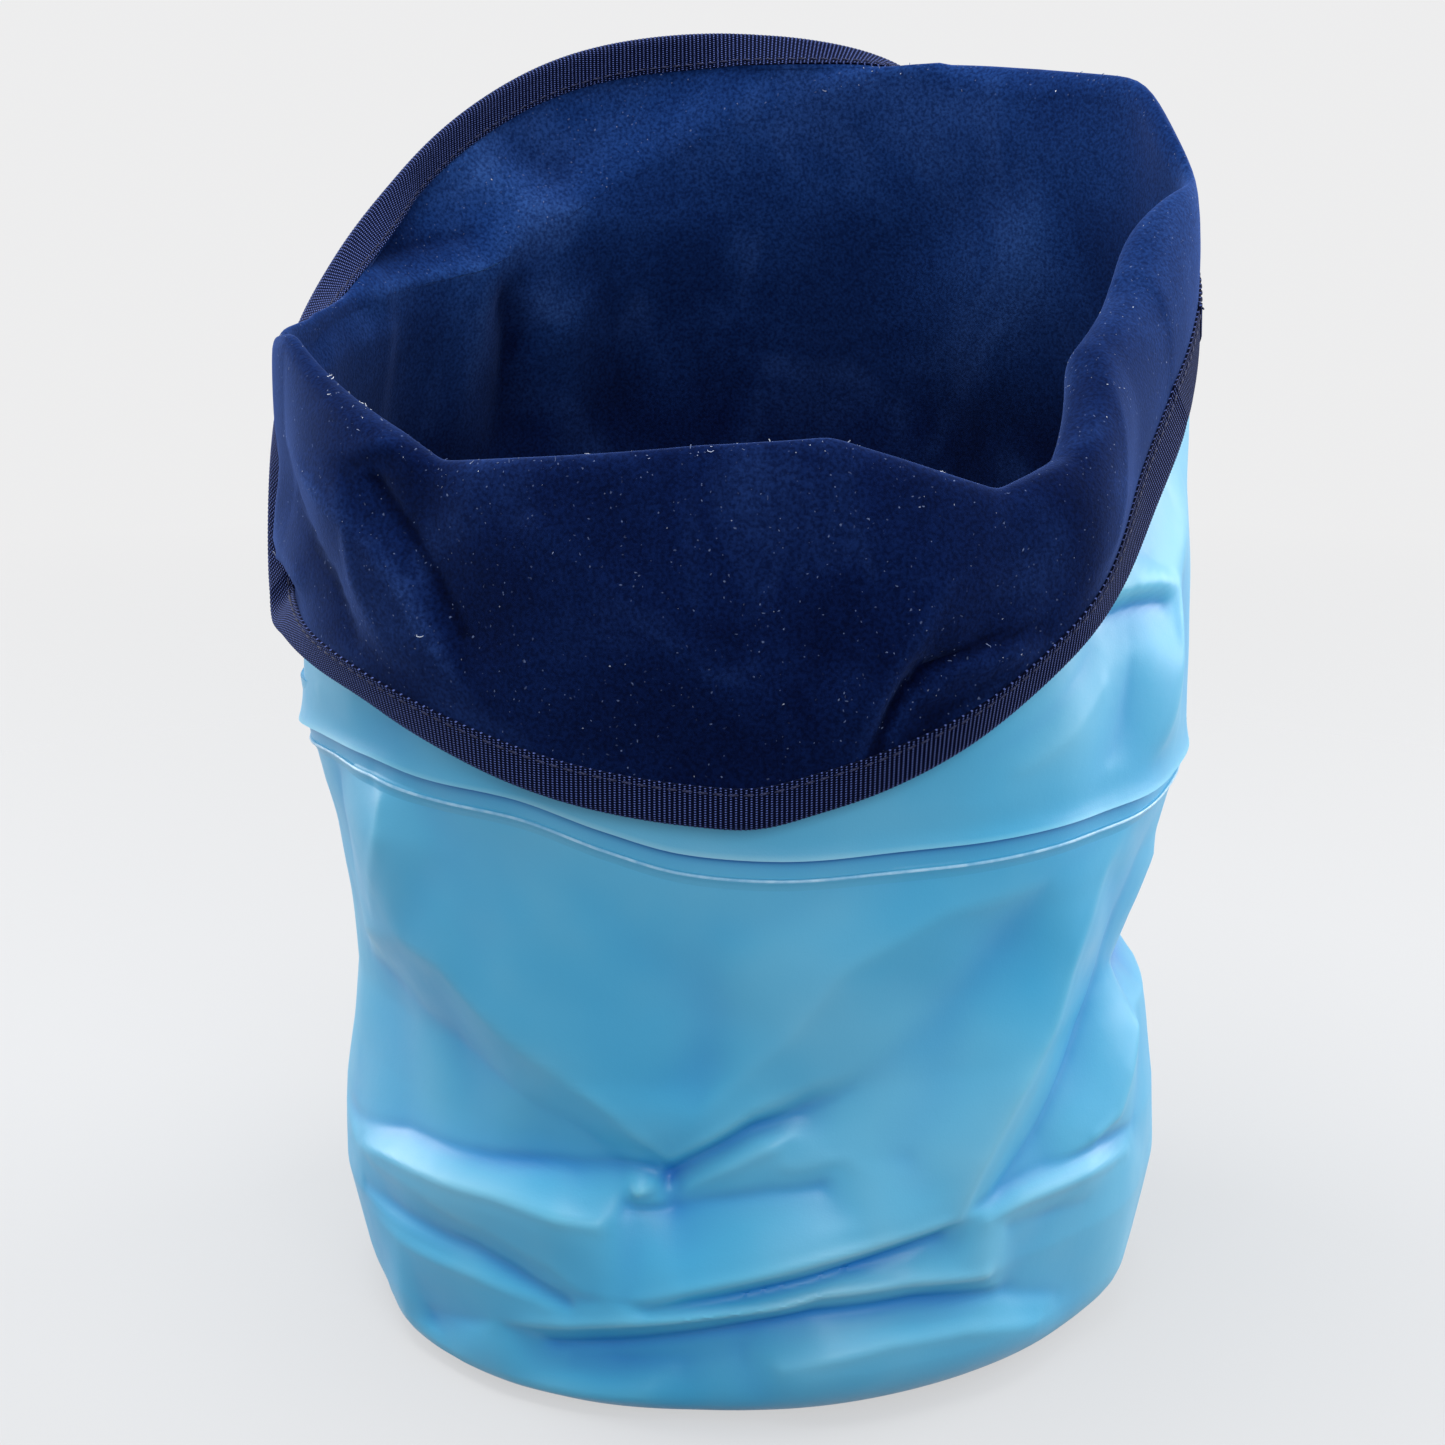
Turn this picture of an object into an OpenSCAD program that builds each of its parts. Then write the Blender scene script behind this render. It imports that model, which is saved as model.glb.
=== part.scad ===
// Folding soft water carrier: a tapered sack of coated cloth with a velour lining.
// The mouth is turned outwards as a cuff, and its rim is bound with ribbed tape.
// Units are millimetres, +Z is up, and the origin is the middle of the base on the floor.
// Angles run anticlockwise from the right (+X), so the front is at 270 degrees.

/* [Body] */
// Diameter of the flat base
base_d = 164; // [140:1:190]
// Radius of the rounded corner between base and wall
foot_r = 12; // [8:0.5:16]
// Diameter of the wall at its lap seam
body_d = 200; // [180:1:225]
// Height of the lap seam above the floor
seam_h = 129; // [115:1:145]
// Width of the wall's hem that is welded on to the base
base_hem_w = 9; // [5:0.5:14]

/* [Slump of the wall] */
// How far the wall bulges out low down
bulge_out = 4; // [0:0.5:7]
// Height of the bulge
bulge_h = 32; // [26:1:40]
// How far the wall draws in at its waist
waist_in = 5; // [0:0.5:8]
// Height of the waist
waist_h = 80; // [70:1:90]
// Depth of the deepest buckle in the wall
buckle_depth = 7; // [0:0.5:10]

/* [Cloth] */
// Thickness of the coated cloth
sheet_t = 0.8; // [0.5:0.1:1.2]
// Thickness of the velour lining
lining_t = 0.6; // [0.4:0.1:1]
// Clearance between bonded layers
bond_gap = 0.15; // [0.1:0.05:0.25]
// Clearance between the cloth and the tape folded over it
tape_gap = 0.35; // [0.3:0.05:0.5]

/* [Lap seam] */
// How far the wall runs up behind the collar
lap_h = 8; // [5:0.5:12]
// Height of the seam band that shows below the collar
band_h = 5.5; // [4:0.5:8]
// How far the seam band is tucked in behind the collar
band_tuck = 4; // [2:0.5:4.5]
// Thickness of the seam band
band_t = 0.6; // [0.4:0.1:0.9]
// Diameter of the bead along the band's lower edge
bead_d = 1.4; // [1:0.1:2]
// Width of the upright closing seams at the back
back_seam_w = 10; // [6:1:16]
// Thickness of the upright closing seams
back_seam_t = 0.4; // [0.3:0.1:0.6]

/* [Folded mouth] */
// Height of the fold at the front
fold_h = 212; // [200:1:230]
// How far the fold rises from the front to its highest point
fold_rise = 64; // [50:1:75]
// How far the fold is drawn in where it is drawn in most
fold_in = 17; // [8:0.5:20]
// Height of the turned-down rim at the front
hem_h = 138; // [134:1:150]
// How far the rim rises from the front to its highest point
rim_rise = 146; // [130:1:155]
// How far the rim stands outside the wall where it stands out most
rim_out = 12; // [10:0.5:16]
// How high the fold rises above the collar's edge before it turns over
crest_h = 5; // [3:0.5:8]
// Least width of the roll where the cuff turns over
roll_w = 5; // [3:0.5:7]
// Height over which the rim turns from hanging to standing
turn_span = 40; // [30:1:50]

/* [Rim binding] */
// Width of the tape on each side of the rim
tape_w = 7.5; // [6:0.5:10]
// Thickness of the tape
tape_t = 0.6; // [0.4:0.1:0.9]
// Number of stitches round the rim
stitch_count = 96; // [60:4:140]
// Distance of the stitches from the tape's inner edge
stitch_inset = 1.6; // [1:0.1:3]
// Width of the sewing thread
thread_w = 0.6; // [0.4:0.1:1]

/* [Hidden] */

// Fold round the mouth: [angle, share of fold_in outside the wall, share of fold_rise above fold_h]
fold_points = [
    [5, -0.235, 0.641], [25, 0, 0.953], [50, -0.235, 1], [75, -0.353, 0.938], [105, -0.412, 0.656],
    [135, -0.353, 0.297], [172, 0, 0.172], [200, 0.059, 0.188], [230, -0.118, -0.078], [268, -0.235, 0],
    [284, -0.176, 0], [300, -0.118, -0.156], [326, -1, 0.188], [346, -1, 0.438],
];
// Edge of the rim: [angle, share of rim_out outside the wall, share of rim_rise above hem_h]
hem_points = [
    [0, 0.667, 0.548], [22, 0.917, 0.671], [45, 0.917, 0.781], [66, 0.667, 0.945], [88, 0, 1],
    [112, 0, 0.966], [135, 0.333, 0.836], [150, 0.667, 0.705], [163, 1, 0.589], [176, 0.917, 0.452],
    [192, 0.667, 0.233], [210, 0.583, 0.151], [236, 0.5, 0.116], [256, 0.5, 0.048], [270, 0.5, 0],
    [284, 0.5, 0.034], [300, 0.5, 0.137], [314, 0.583, 0.26], [332, 0.417, 0.39],
];
// Buckles in the wall: [angle, height, half angle, half height, depth], heights as shares of seam_h
buckles = [
    [338, 0.62, 26, 0.14, 1], [262, 0.434, 22, 0.101, 0.857],
    [276, 0.186, 34, 0.085, 0.714], [306, 0.45, 14, 0.202, -0.571],
    [206, 0.744, 20, 0.14, 0.571], [222, 0.326, 24, 0.093, -0.429],
    [150, 0.465, 30, 0.155, 0.857], [60, 0.372, 28, 0.124, 0.714],
];

$fn = 96;
segments = 56;
step = 360 / segments;
round_angles = [for (i = [0 : segments - 1]) i * step];
foot_steps = 3;
wall_steps = 7;
collar_steps = 4;
cuff_steps = 5;
// How far the curve of the cuff reaches up at the fold and back from the rim, as shares of its depth
crest_share = 0.07;
hanging_lead = 0.9;
standing_lead = 0.3;
least_lead = 2;

body_r = body_d / 2;
base_r = base_d / 2;
flange_z = sheet_t + bond_gap;
foot_z = flange_z + foot_r;
foot_top_r = base_r + foot_r;
wall_top = seam_h + lap_h;
band_bottom = seam_h - band_h;
// Distance of the collar's inner face from the wall's outer face
stack_t = band_t + 2 * bond_gap;
// Half thickness of the two layers of cloth at the rim
rim_half_t = bond_gap / 2 + sheet_t;
back_angle = 90;

function bell(x) = abs(x) < 1 ? pow(1 - x * x, 2) : 0;
function ease(t) = t * t * (3 - 2 * t);
function mix(p, q, t) = p + (q - p) * t;
function limit(x, low, high) = min(max(x, low), high);
function unit(v) = v / norm(v);
function turned_by(a, b) = let (d = abs(a - b) % 360) min(d, 360 - d);

// Smooth closed curve through [angle, out, rise] points
function wrapped(points, i) =
    let (turns = floor(i / len(points)))
    points[i - turns * len(points)] + [360 * turns, 0, 0];
function slope(points, i) =
    let (before = wrapped(points, i - 1), after = wrapped(points, i + 1))
    (after - before) / (after[0] - before[0]);
function knot_below(points, a) =
    max([for (i = [-1 : len(points) - 1]) if (wrapped(points, i)[0] <= a) i]);
function along(points, angle) =
    let (
        a = angle - 360 * floor(angle / 360),
        i = knot_below(points, a),
        p = wrapped(points, i),
        q = wrapped(points, i + 1),
        h = q[0] - p[0],
        t = (a - p[0]) / h
    )
    (1 + 2 * t) * pow(1 - t, 2) * p + t * pow(1 - t, 2) * h * slope(points, i)
    + t * t * (3 - 2 * t) * q - t * t * (1 - t) * h * slope(points, i + 1);

// Sections of the cloth are [radius, height] paths in the upright plane at each angle.
// A path that runs upwards has its outer face on the right, and its last stretch is straight.
function outward(path, i) =
    let (
        last = len(path) - 1,
        d = unit(i < last - 1 ? path[i + 1] - path[max(i - 1, 0)] : path[last] - path[last - 1])
    )
    [d[1], -d[0]];
function beside(path, distance) = [for (i = [0 : len(path) - 1]) path[i] + distance * outward(path, i)];
function reversed(list) = [for (i = [len(list) - 1 : -1 : 0]) list[i]];
function from(list, first) = [for (i = [first : len(list) - 1]) list[i]];
function layer(path, inner, outer, first = 0) =
    concat(from(beside(path, outer), first), reversed(from(beside(path, inner), first)));
function placed(p, a) = [p[0] * cos(a), p[0] * sin(a), p[1]];

// Closed solid from one section for each angle: a full ring, or a strip with two flat ends.
// Rows that run back along the cloth are split on the other diagonal, so that layers nest.
module loft(sections, angles, ring = true, returning = undef) {
    rows = len(sections[0]);
    back_rows = is_undef(returning) ? [for (i = [rows / 2 : rows - 1]) i] : returning;
    columns = len(sections);
    spans = ring ? columns : columns - 1;
    points = [for (j = [0 : columns - 1]) for (p = sections[j]) placed(p, angles[j])];
    faces = [
        for (j = [0 : spans - 1])
            for (i = [0 : rows - 1])
                let (
                    here = j * rows,
                    next = ((j + 1) % columns) * rows,
                    up = (i + 1) % rows,
                    back = len(search(i, back_rows)) > 0
                )
                each back
                    ? [[here + i, here + up, next + i], [here + up, next + up, next + i]]
                    : [[here + i, here + up, next + up], [here + i, next + up, next + i]]
    ];
    last = (columns - 1) * rows;
    ends = ring ? [] : [
        for (i = [0 : rows / 2 - 2])
            let (j = rows - 1 - i)
            each [[j, j - 1, i + 1, i], [last + i, last + i + 1, last + j - 1, last + j]]
    ];
    polyhedron(points = points, faces = concat(faces, ends), convexity = 8);
}

// Wall: a flange on the base, a rounded foot, then the slumped and buckled side
function sum(list, i = 0) = i < len(list) ? list[i] + sum(list, i + 1) : 0;
function buckled(a, z) = -buckle_depth * sum([
    for (b = buckles) b[4] * bell(turned_by(a, b[0]) / b[2]) * bell((z / seam_h - b[1]) / b[3])
]);
function side_r(a, z) =
    let (t = limit((z - foot_z) / (band_bottom - foot_z), 0, 1))
    mix(foot_top_r, body_r, t) + bulge_out * bell((z - bulge_h) / (bulge_h - foot_r))
    - waist_in * bell((z - waist_h) / (band_bottom - waist_h)) + buckled(a, z);
function foot_path() = [
    for (i = [0 : foot_steps - 1])
        let (turn = 90 * i / foot_steps)
        [base_r + foot_r * sin(turn), foot_z - foot_r * cos(turn)]
];
function side_path(a, low, high) = [
    for (i = [0 : wall_steps]) let (z = mix(low, high, i / wall_steps)) [side_r(a, z), z]
];
function wall_path(a) = concat(
    [[base_r - base_hem_w, flange_z]],
    foot_path(),
    side_path(a, foot_z, band_bottom),
    [[body_r, wall_top]]
);

// Collar: straight over the lap, then drawn to the fold
function fold_at(a) = let (p = along(fold_points, a)) [body_r + fold_in * p[1], fold_h + fold_rise * p[2]];
function hem_at(a) = let (p = along(hem_points, a)) [body_r + rim_out * p[1], hem_h + rim_rise * p[2]];
collar_foot_r = body_r + stack_t;
function collar_path(a) =
    let (top = fold_at(a) - [0, bond_gap], neck = top - [0, sheet_t])
    concat(
        [[collar_foot_r, seam_h]],
        [for (i = [0 : collar_steps])
            let (t = i / collar_steps)
            [mix(collar_foot_r, neck[0], ease(t)), mix(wall_top, neck[1], t)]],
        [top]
    );

// Cuff: over the crest of the fold and out to the rim, hanging, level or standing
function drop_at(a) = fold_at(a)[1] - hem_at(a)[1];
function rim_direction(a) = let (tilt = -90 * limit(drop_at(a) / turn_span, -1, 1)) [cos(tilt), sin(tilt)];
function rim_lead(a) =
    let (drop = drop_at(a))
    least_lead + (drop > 0 ? hanging_lead * drop : -standing_lead * drop);
function cuff_path(a) =
    let (
        p0 = fold_at(a) + [0, sheet_t],
        p1 = p0 + [0, crest_h + crest_share * abs(drop_at(a))],
        p3 = hem_at(a) - tape_w * rim_direction(a),
        back = p3 - rim_lead(a) * rim_direction(a),
        roll = p0[0] + least_lead + roll_w * limit(drop_at(a) / roll_w, 0, 1),
        p2 = [max(back[0], min(roll, p3[0])), back[1]]
    )
    concat(
        [fold_at(a)],
        [for (i = [0 : cuff_steps])
            let (t = i / cuff_steps, s = 1 - t)
            s * s * s * p0 + 3 * s * s * t * p1 + 3 * s * t * t * p2 + t * t * t * p3],
        [hem_at(a)]
    );

// Point on the rim: distance back from its edge, and height above its velour side
function rim_point(a, back, above) =
    let (d = rim_direction(a))
    hem_at(a) - back * d + above * [-d[1], d[0]];

blue = "#4da3cf";
navy = "#131c47";
tape_colour = "#17172f";

module base_panel() {
    color(blue)
        cylinder(h = sheet_t, r = base_r);
}

module base_lining() {
    color(navy)
        translate([0, 0, flange_z + sheet_t + bond_gap])
            cylinder(h = lining_t, r = base_r);
}

module wall_panel() {
    color(blue)
        loft([for (a = round_angles) layer(wall_path(a), -sheet_t, 0)], round_angles);
}

// The wall's lining begins part of the way up the foot
wall_lining_first = 2;

module wall_lining() {
    outer = -sheet_t - bond_gap;
    color(navy)
        loft(
            [for (a = round_angles) layer(wall_path(a), outer - lining_t, outer, wall_lining_first)],
            round_angles
        );
}

// Upright strips at the back, welded to the outer faces of wall and collar
back_half_angle = asin(back_seam_w / 2 / body_r);
back_angles = [for (i = [-1 : 1]) back_angle + i * back_half_angle];

module wall_back_seam() {
    inner = bond_gap;
    top = band_bottom - bond_gap;
    color(blue)
        loft(
            [for (a = back_angles) layer(side_path(a, foot_z, top), inner, inner + back_seam_t)],
            back_angles,
            ring = false
        );
}

module collar_back_seam() {
    inner = sheet_t + bond_gap;
    color(blue)
        loft(
            [for (a = back_angles) layer(collar_path(a), inner, inner + back_seam_t)],
            back_angles,
            ring = false
        );
}

// Corners of the bead's section and the height where it meets the band, as shares of its diameter
bead_corners = [[0.7, 0], [1, 0.5], [0.7, 1]];
bead_top = 1.4;

module seam_band() {
    back_r = body_r + bond_gap;
    band_top = seam_h + band_tuck;
    section = concat(
        [[back_r, band_top], [back_r, band_bottom]],
        [for (p = bead_corners) [back_r, band_bottom] + bead_d * p],
        [[back_r + band_t, band_bottom + bead_d * bead_top], [back_r + band_t, band_top]]
    );
    color(blue)
        loft([for (a = round_angles) section], round_angles);
}

module collar_panel() {
    color(blue)
        loft([for (a = round_angles) layer(collar_path(a), 0, sheet_t)], round_angles);
}

// The collar's lining begins above the lap
collar_lining_first = 1;

module collar_lining() {
    outer = -bond_gap;
    color(navy)
        loft(
            [for (a = round_angles) layer(collar_path(a), outer - lining_t, outer, collar_lining_first)],
            round_angles
        );
}

module cuff_panel() {
    color(blue)
        loft([for (a = round_angles) layer(cuff_path(a), 0, sheet_t)], round_angles);
}

module cuff_lining() {
    color(navy)
        loft([for (a = round_angles) layer(cuff_path(a), -bond_gap - lining_t, -bond_gap)], round_angles);
}

stitch_line = tape_w - stitch_inset;
// Clearance between the thread and the tape
thread_gap = 0.2;
// Share of the pitch left bare at each end of a stitch
stitch_gap = 0.2;

// Tape folded over the rim, a channel open towards the cuff
tape_back_rows = [2, 6, 7];

module rim_binding() {
    slot = rim_half_t + tape_gap;
    outer = slot + tape_t;
    edge = -tape_gap - tape_t;
    section = [
        [tape_w, slot], [-tape_gap, slot], [-tape_gap, -slot], [tape_w, -slot],
        [tape_w, -outer], [edge, -outer], [edge, outer], [stitch_line, outer], [tape_w, outer],
    ];
    color(tape_colour)
        loft(
            [for (a = round_angles) [for (p = section) rim_point(a, p[0], p[1])]],
            round_angles,
            returning = tape_back_rows
        );
}

// One row of short stitches on the tape's velour side
module rim_stitching() {
    pitch = 360 / stitch_count;
    seat = rim_half_t + tape_gap + tape_t + thread_gap;
    near = stitch_line - thread_w / 2;
    far = stitch_line + thread_w / 2;
    top = seat + thread_w;
    color(tape_colour)
        for (i = [0 : stitch_count - 1]) {
            angles = [(i + stitch_gap) * pitch, (i + 1 - stitch_gap) * pitch];
            section = [[far, seat], [near, seat], [near, top], [far, top]];
            loft([for (a = angles) [for (p = section) rim_point(a, p[0], p[1])]], angles, ring = false);
        }
}

base_panel();
base_lining();
wall_panel();
wall_lining();
wall_back_seam();
seam_band();
collar_panel();
collar_lining();
collar_back_seam();
cuff_panel();
cuff_lining();
rim_binding();
rim_stitching();
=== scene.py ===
# Folding soft water carrier: an open sack of blue coated cloth, lined with navy velour.
# The mouth is turned outwards as a cuff, and its rim is bound with ribbed tape.
# Lengths in the lists are millimetres, and angles run anticlockwise from the right, so 270 is the front.
import math

import bpy
import numpy as np
from mathutils.geometry import delaunay_2d_cdt
from mathutils.kdtree import KDTree
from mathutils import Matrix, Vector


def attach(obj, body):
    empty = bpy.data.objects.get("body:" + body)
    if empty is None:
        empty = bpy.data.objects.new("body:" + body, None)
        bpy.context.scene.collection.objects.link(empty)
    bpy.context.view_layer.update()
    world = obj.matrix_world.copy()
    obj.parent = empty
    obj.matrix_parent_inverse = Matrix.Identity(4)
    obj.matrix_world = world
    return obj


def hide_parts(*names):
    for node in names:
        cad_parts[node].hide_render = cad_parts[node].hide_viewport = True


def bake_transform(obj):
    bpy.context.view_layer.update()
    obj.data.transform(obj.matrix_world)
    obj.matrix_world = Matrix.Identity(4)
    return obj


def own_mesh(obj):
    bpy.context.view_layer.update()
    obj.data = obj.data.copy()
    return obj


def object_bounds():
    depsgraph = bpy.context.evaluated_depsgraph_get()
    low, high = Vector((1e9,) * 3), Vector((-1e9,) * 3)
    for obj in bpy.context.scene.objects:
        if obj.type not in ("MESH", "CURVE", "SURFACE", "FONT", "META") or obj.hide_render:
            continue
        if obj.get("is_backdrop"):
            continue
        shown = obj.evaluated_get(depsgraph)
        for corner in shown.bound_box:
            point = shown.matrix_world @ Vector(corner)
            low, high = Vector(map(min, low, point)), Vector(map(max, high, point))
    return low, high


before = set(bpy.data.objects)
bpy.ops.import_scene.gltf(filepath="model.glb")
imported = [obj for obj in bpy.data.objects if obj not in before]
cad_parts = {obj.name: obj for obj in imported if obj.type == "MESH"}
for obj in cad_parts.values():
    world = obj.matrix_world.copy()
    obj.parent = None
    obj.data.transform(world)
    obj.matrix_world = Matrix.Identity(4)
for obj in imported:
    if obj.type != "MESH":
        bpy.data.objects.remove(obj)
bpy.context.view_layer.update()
MM = 0.001

# Camera: held a little above the mouth, in front of the sack, looking down by 15 degrees.
# Its long lens and its distance give the ellipses of base, seam and rim as photographed.
bpy.ops.object.select_all(action="DESELECT")
bpy.ops.object.camera_add(location=(-0.004, -0.6518, 0.306), rotation=(math.radians(75), 0, 0))
camera = bpy.context.object
camera.name = "photo_camera"
camera.data.sensor_width = 36
camera.data.lens = 72.25
bpy.context.scene.camera = camera

# Base panel: a disc of the coated cloth, welded to the wall's hem all round.
# The weld shows from below as a pressed ring just inside the edge.
BASE_R = 82 * MM
BASE_T = 0.8 * MM
WELD_W = 9 * MM
WELD_EDGE = 1.5 * MM
WELD_STEP = 0.4 * MM
WELD_DEPTH = 0.25 * MM


def new_material(name, base, roughness):
    """Empty principled material with its node tree, shader and object coordinates."""
    made = bpy.data.materials.new(name)
    made.use_nodes = True
    tree = made.node_tree
    shader = tree.nodes["Principled BSDF"]
    shader.inputs["Base Color"].default_value = (*base, 1)
    shader.inputs["Roughness"].default_value = roughness
    place = tree.nodes.new("ShaderNodeTexCoord").outputs["Object"]
    return made, tree, shader, place


def noise(tree, place, scale, detail, distortion=0.0):
    """Noise texture read at a place."""
    texture = tree.nodes.new("ShaderNodeTexNoise")
    for socket, number in (("Scale", scale), ("Detail", detail), ("Distortion", distortion)):
        texture.inputs[socket].default_value = number
    tree.links.new(place, texture.inputs["Vector"])
    return texture.outputs["Fac"]


def ramp(tree, value, stops):
    """Colour ramp of (position, colour) stops."""
    node = tree.nodes.new("ShaderNodeValToRGB")
    elements = node.color_ramp.elements
    while len(elements) < len(stops):
        elements.new(0.5)
    for element, (position, colour) in zip(elements, stops):
        element.position = position
        element.color = (*colour, 1)
    tree.links.new(value, node.inputs["Fac"])
    return node.outputs["Color"]


def remap(tree, value, low, high, to_low, to_high):
    """Linear remap of a value, held inside the new range."""
    node = tree.nodes.new("ShaderNodeMapRange")
    for socket, number in zip(("From Min", "From Max", "To Min", "To Max"), (low, high, to_low, to_high)):
        node.inputs[socket].default_value = number
    tree.links.new(value, node.inputs["Value"])
    return node.outputs["Result"]


def bump(tree, shader, height, strength, distance, under=None):
    """Bump from a height, set on the shader's normal, over another bump if given."""
    node = tree.nodes.new("ShaderNodeBump")
    node.inputs["Strength"].default_value = strength
    node.inputs["Distance"].default_value = distance
    tree.links.new(height, node.inputs["Height"])
    if under is not None:
        tree.links.new(under, node.inputs["Normal"])
    tree.links.new(node.outputs["Normal"], shader.inputs["Normal"])
    return node.outputs["Normal"]


def feed(tree, socket, value):
    """Links another node's output to a socket, or sets a plain value on it."""
    if isinstance(value, bpy.types.NodeSocket):
        tree.links.new(value, socket)
    else:
        socket.default_value = value


def colour_mix(tree, share, under, over, blend="MIX"):
    """One colour over another by a share, or multiplied by it."""
    node = tree.nodes.new("ShaderNodeMix")
    node.data_type = "RGBA"
    node.blend_type = blend
    for socket, value in (("Factor", share), ("A", under), ("B", over)):
        feed(tree, node.inputs[socket], value)
    return node.outputs["Result"]


def creased(tree, colour, ridge, valley):
    """Colour tinted by the sheet's creases: a painted highlight on ridges and painted shade in valleys."""
    fold = tree.nodes.new("ShaderNodeAttribute")
    fold.attribute_name = "crease"
    depth = remap(tree, fold.outputs["Fac"], -1, 1, 0, 1)
    tint = ramp(tree, depth, [(0, ridge), (0.5, (1, 1, 1)), (1, valley)])
    return colour_mix(tree, 1.0, colour, tint, "MULTIPLY")


coated, tree, shader, place = new_material("coated_cloth", (0.03, 0.32, 0.60), 0.34)
# Cloudy patches of the coating: a random tone, and its paler, greyer patches are painted sheen.
cloudy = noise(tree, place, 14, 3)
shades = [(0.32, (0.040, 0.368, 0.630)), (0.50, (0.068, 0.404, 0.642)), (0.68, (0.116, 0.450, 0.658))]
blues = ramp(tree, cloudy, shades)
# The crease tint paints a highlight on ridges and deep blue shade in valleys.
tree.links.new(creased(tree, blues, (2.2, 1.25, 1.06), (0.03, 0.42, 0.80)), shader.inputs["Base Color"])
tree.links.new(remap(tree, noise(tree, place, 60, 4), 0.3, 0.7, 0.34, 0.46), shader.inputs["Roughness"])
calendered = bump(tree, shader, noise(tree, place, 2600, 2), 0.10, 0.0002)
bump(tree, shader, noise(tree, place, 260, 3), 0.05, 0.001, calendered)
shader.inputs["Specular IOR Level"].default_value = 0.45


def start_disc(name, sides, thickness, low, facing):
    """Disc of cloth in edit mode, with its upper (1) or lower (-1) face selected."""
    bpy.ops.object.select_all(action="DESELECT")
    bpy.ops.mesh.primitive_cylinder_add(
        vertices=sides, radius=BASE_R, depth=thickness, location=(0, 0, low + thickness / 2)
    )
    disc = bpy.context.object
    disc.name = name
    bpy.ops.object.transform_apply(location=True, rotation=True, scale=True)
    bpy.ops.object.mode_set(mode="EDIT")
    bpy.ops.mesh.select_mode(type="FACE")
    bpy.ops.mesh.select_all(action="DESELECT")
    bpy.ops.object.mode_set(mode="OBJECT")
    for face in disc.data.polygons:
        face.select = facing * face.normal.z > 0.9
    bpy.ops.object.mode_set(mode="EDIT")
    return disc


base = start_disc("base_panel_cloth", 160, BASE_T, 0, -1)
bpy.ops.mesh.inset(thickness=WELD_EDGE)
bpy.ops.mesh.inset(thickness=WELD_STEP)
bpy.ops.transform.translate(value=(0, 0, WELD_DEPTH))
bpy.ops.mesh.inset(thickness=WELD_W - 2 * WELD_EDGE)
bpy.ops.mesh.inset(thickness=WELD_STEP)
bpy.ops.transform.translate(value=(0, 0, -WELD_DEPTH))
for ring in range(6):
    bpy.ops.mesh.inset(thickness=11 * MM)
bpy.ops.object.mode_set(mode="OBJECT")
bpy.ops.object.shade_smooth_by_angle(angle=math.radians(20))
base.data.materials.append(coated)
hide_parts("base_panel")
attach(base, "body")

# Base lining: a disc of velour laid on the base inside the sack.
# Its edge is tucked under the wall's lining, so it lies flat with a soft edge.
LINING_T = 0.6 * MM
BASE_LINING_Z = 1.9 * MM


def reckon(tree, operation, first, second=0.0):
    """Result of a sum on one or two values."""
    node = tree.nodes.new("ShaderNodeMath")
    node.operation = operation
    feed(tree, node.inputs[0], first)
    feed(tree, node.inputs[1], second)
    return node.outputs["Value"]


def velour_finish(name):
    """Flocked navy velour: dark looking in, paler at a glancing look, with a brushed nap."""
    made, tree, shader, place = new_material(name, (0.0014, 0.0080, 0.050), 0.95)
    streaks = noise(tree, place, 20, 4, 1.6)
    against = [(0.34, (0.0010, 0.0043, 0.030)), (0.50, (0.0018, 0.0072, 0.044)), (0.68, (0.0056, 0.0170, 0.078))]
    along = [(0.34, (0.0045, 0.0200, 0.096)), (0.50, (0.0064, 0.0268, 0.119)), (0.68, (0.0120, 0.0390, 0.152))]
    # Painted light: the high back of the mouth is painted paler, with the along stops, than the rest, with the against
    # stops.
    side = tree.nodes.new("ShaderNodeSeparateXYZ")
    tree.links.new(place, side.inputs["Vector"])
    towards_back = remap(tree, side.outputs["Y"], -0.085, 0.035, 0.0, 1.0)
    high_up = remap(tree, side.outputs["Z"], 0.186, 0.240, 0.0, 1.0)
    laid = reckon(tree, "MULTIPLY", towards_back, high_up)
    navy = colour_mix(tree, laid, ramp(tree, streaks, against), ramp(tree, streaks, along))
    nap = noise(tree, place, 1300, 4)
    brush = ramp(tree, nap, [(0.36, (0.62, 0.63, 0.68)), (0.64, (1.55, 1.5, 1.4))])
    # The crease tint paints a highlight on the pile's ridges and shade in its valleys.
    pile = creased(tree, colour_mix(tree, 1.0, navy, brush, "MULTIPLY"), (2.2, 1.9, 1.6), (0.26, 0.30, 0.40))
    tree.links.new(pile, shader.inputs["Base Color"])
    bump(tree, shader, nap, 0.25, 0.0004)
    shader.inputs["Specular IOR Level"].default_value = 0.03
    shader.inputs["Sheen Weight"].default_value = 0.47
    shader.inputs["Sheen Roughness"].default_value = 0.42
    shader.inputs["Sheen Tint"].default_value = (0.15, 0.26, 0.70, 1)
    return made, tree, shader, place, pile


velour = velour_finish("velour")[0]

base_lining = start_disc("base_lining_velour", 128, LINING_T, BASE_LINING_Z, 1)
for ring in range(7):
    bpy.ops.mesh.inset(thickness=10 * MM)
bpy.ops.object.mode_set(mode="OBJECT")
bpy.ops.object.shade_smooth_by_angle(angle=math.radians(40))
base_lining.data.materials.append(velour)
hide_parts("base_lining")
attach(base_lining, "body")

# Wall: one tapered panel of coated cloth, closed up the back and rounded on to the base.
# It is empty, so it slumps: it buckles at two points in front and folds fan out from them.
FRONT_COLUMNS = 270
SIDE_COLUMNS = 62
BACK_COLUMNS = 7
SIDE_ROWS = 110
FOOT_ROWS = 8
SHEET_T = 0.8
FOOT_R = 12.0
FLANGE_Z = 0.95
FLANGE_R = 73.0
BASE_EDGE_R = 82.0
LAP_H = 10.0

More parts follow.
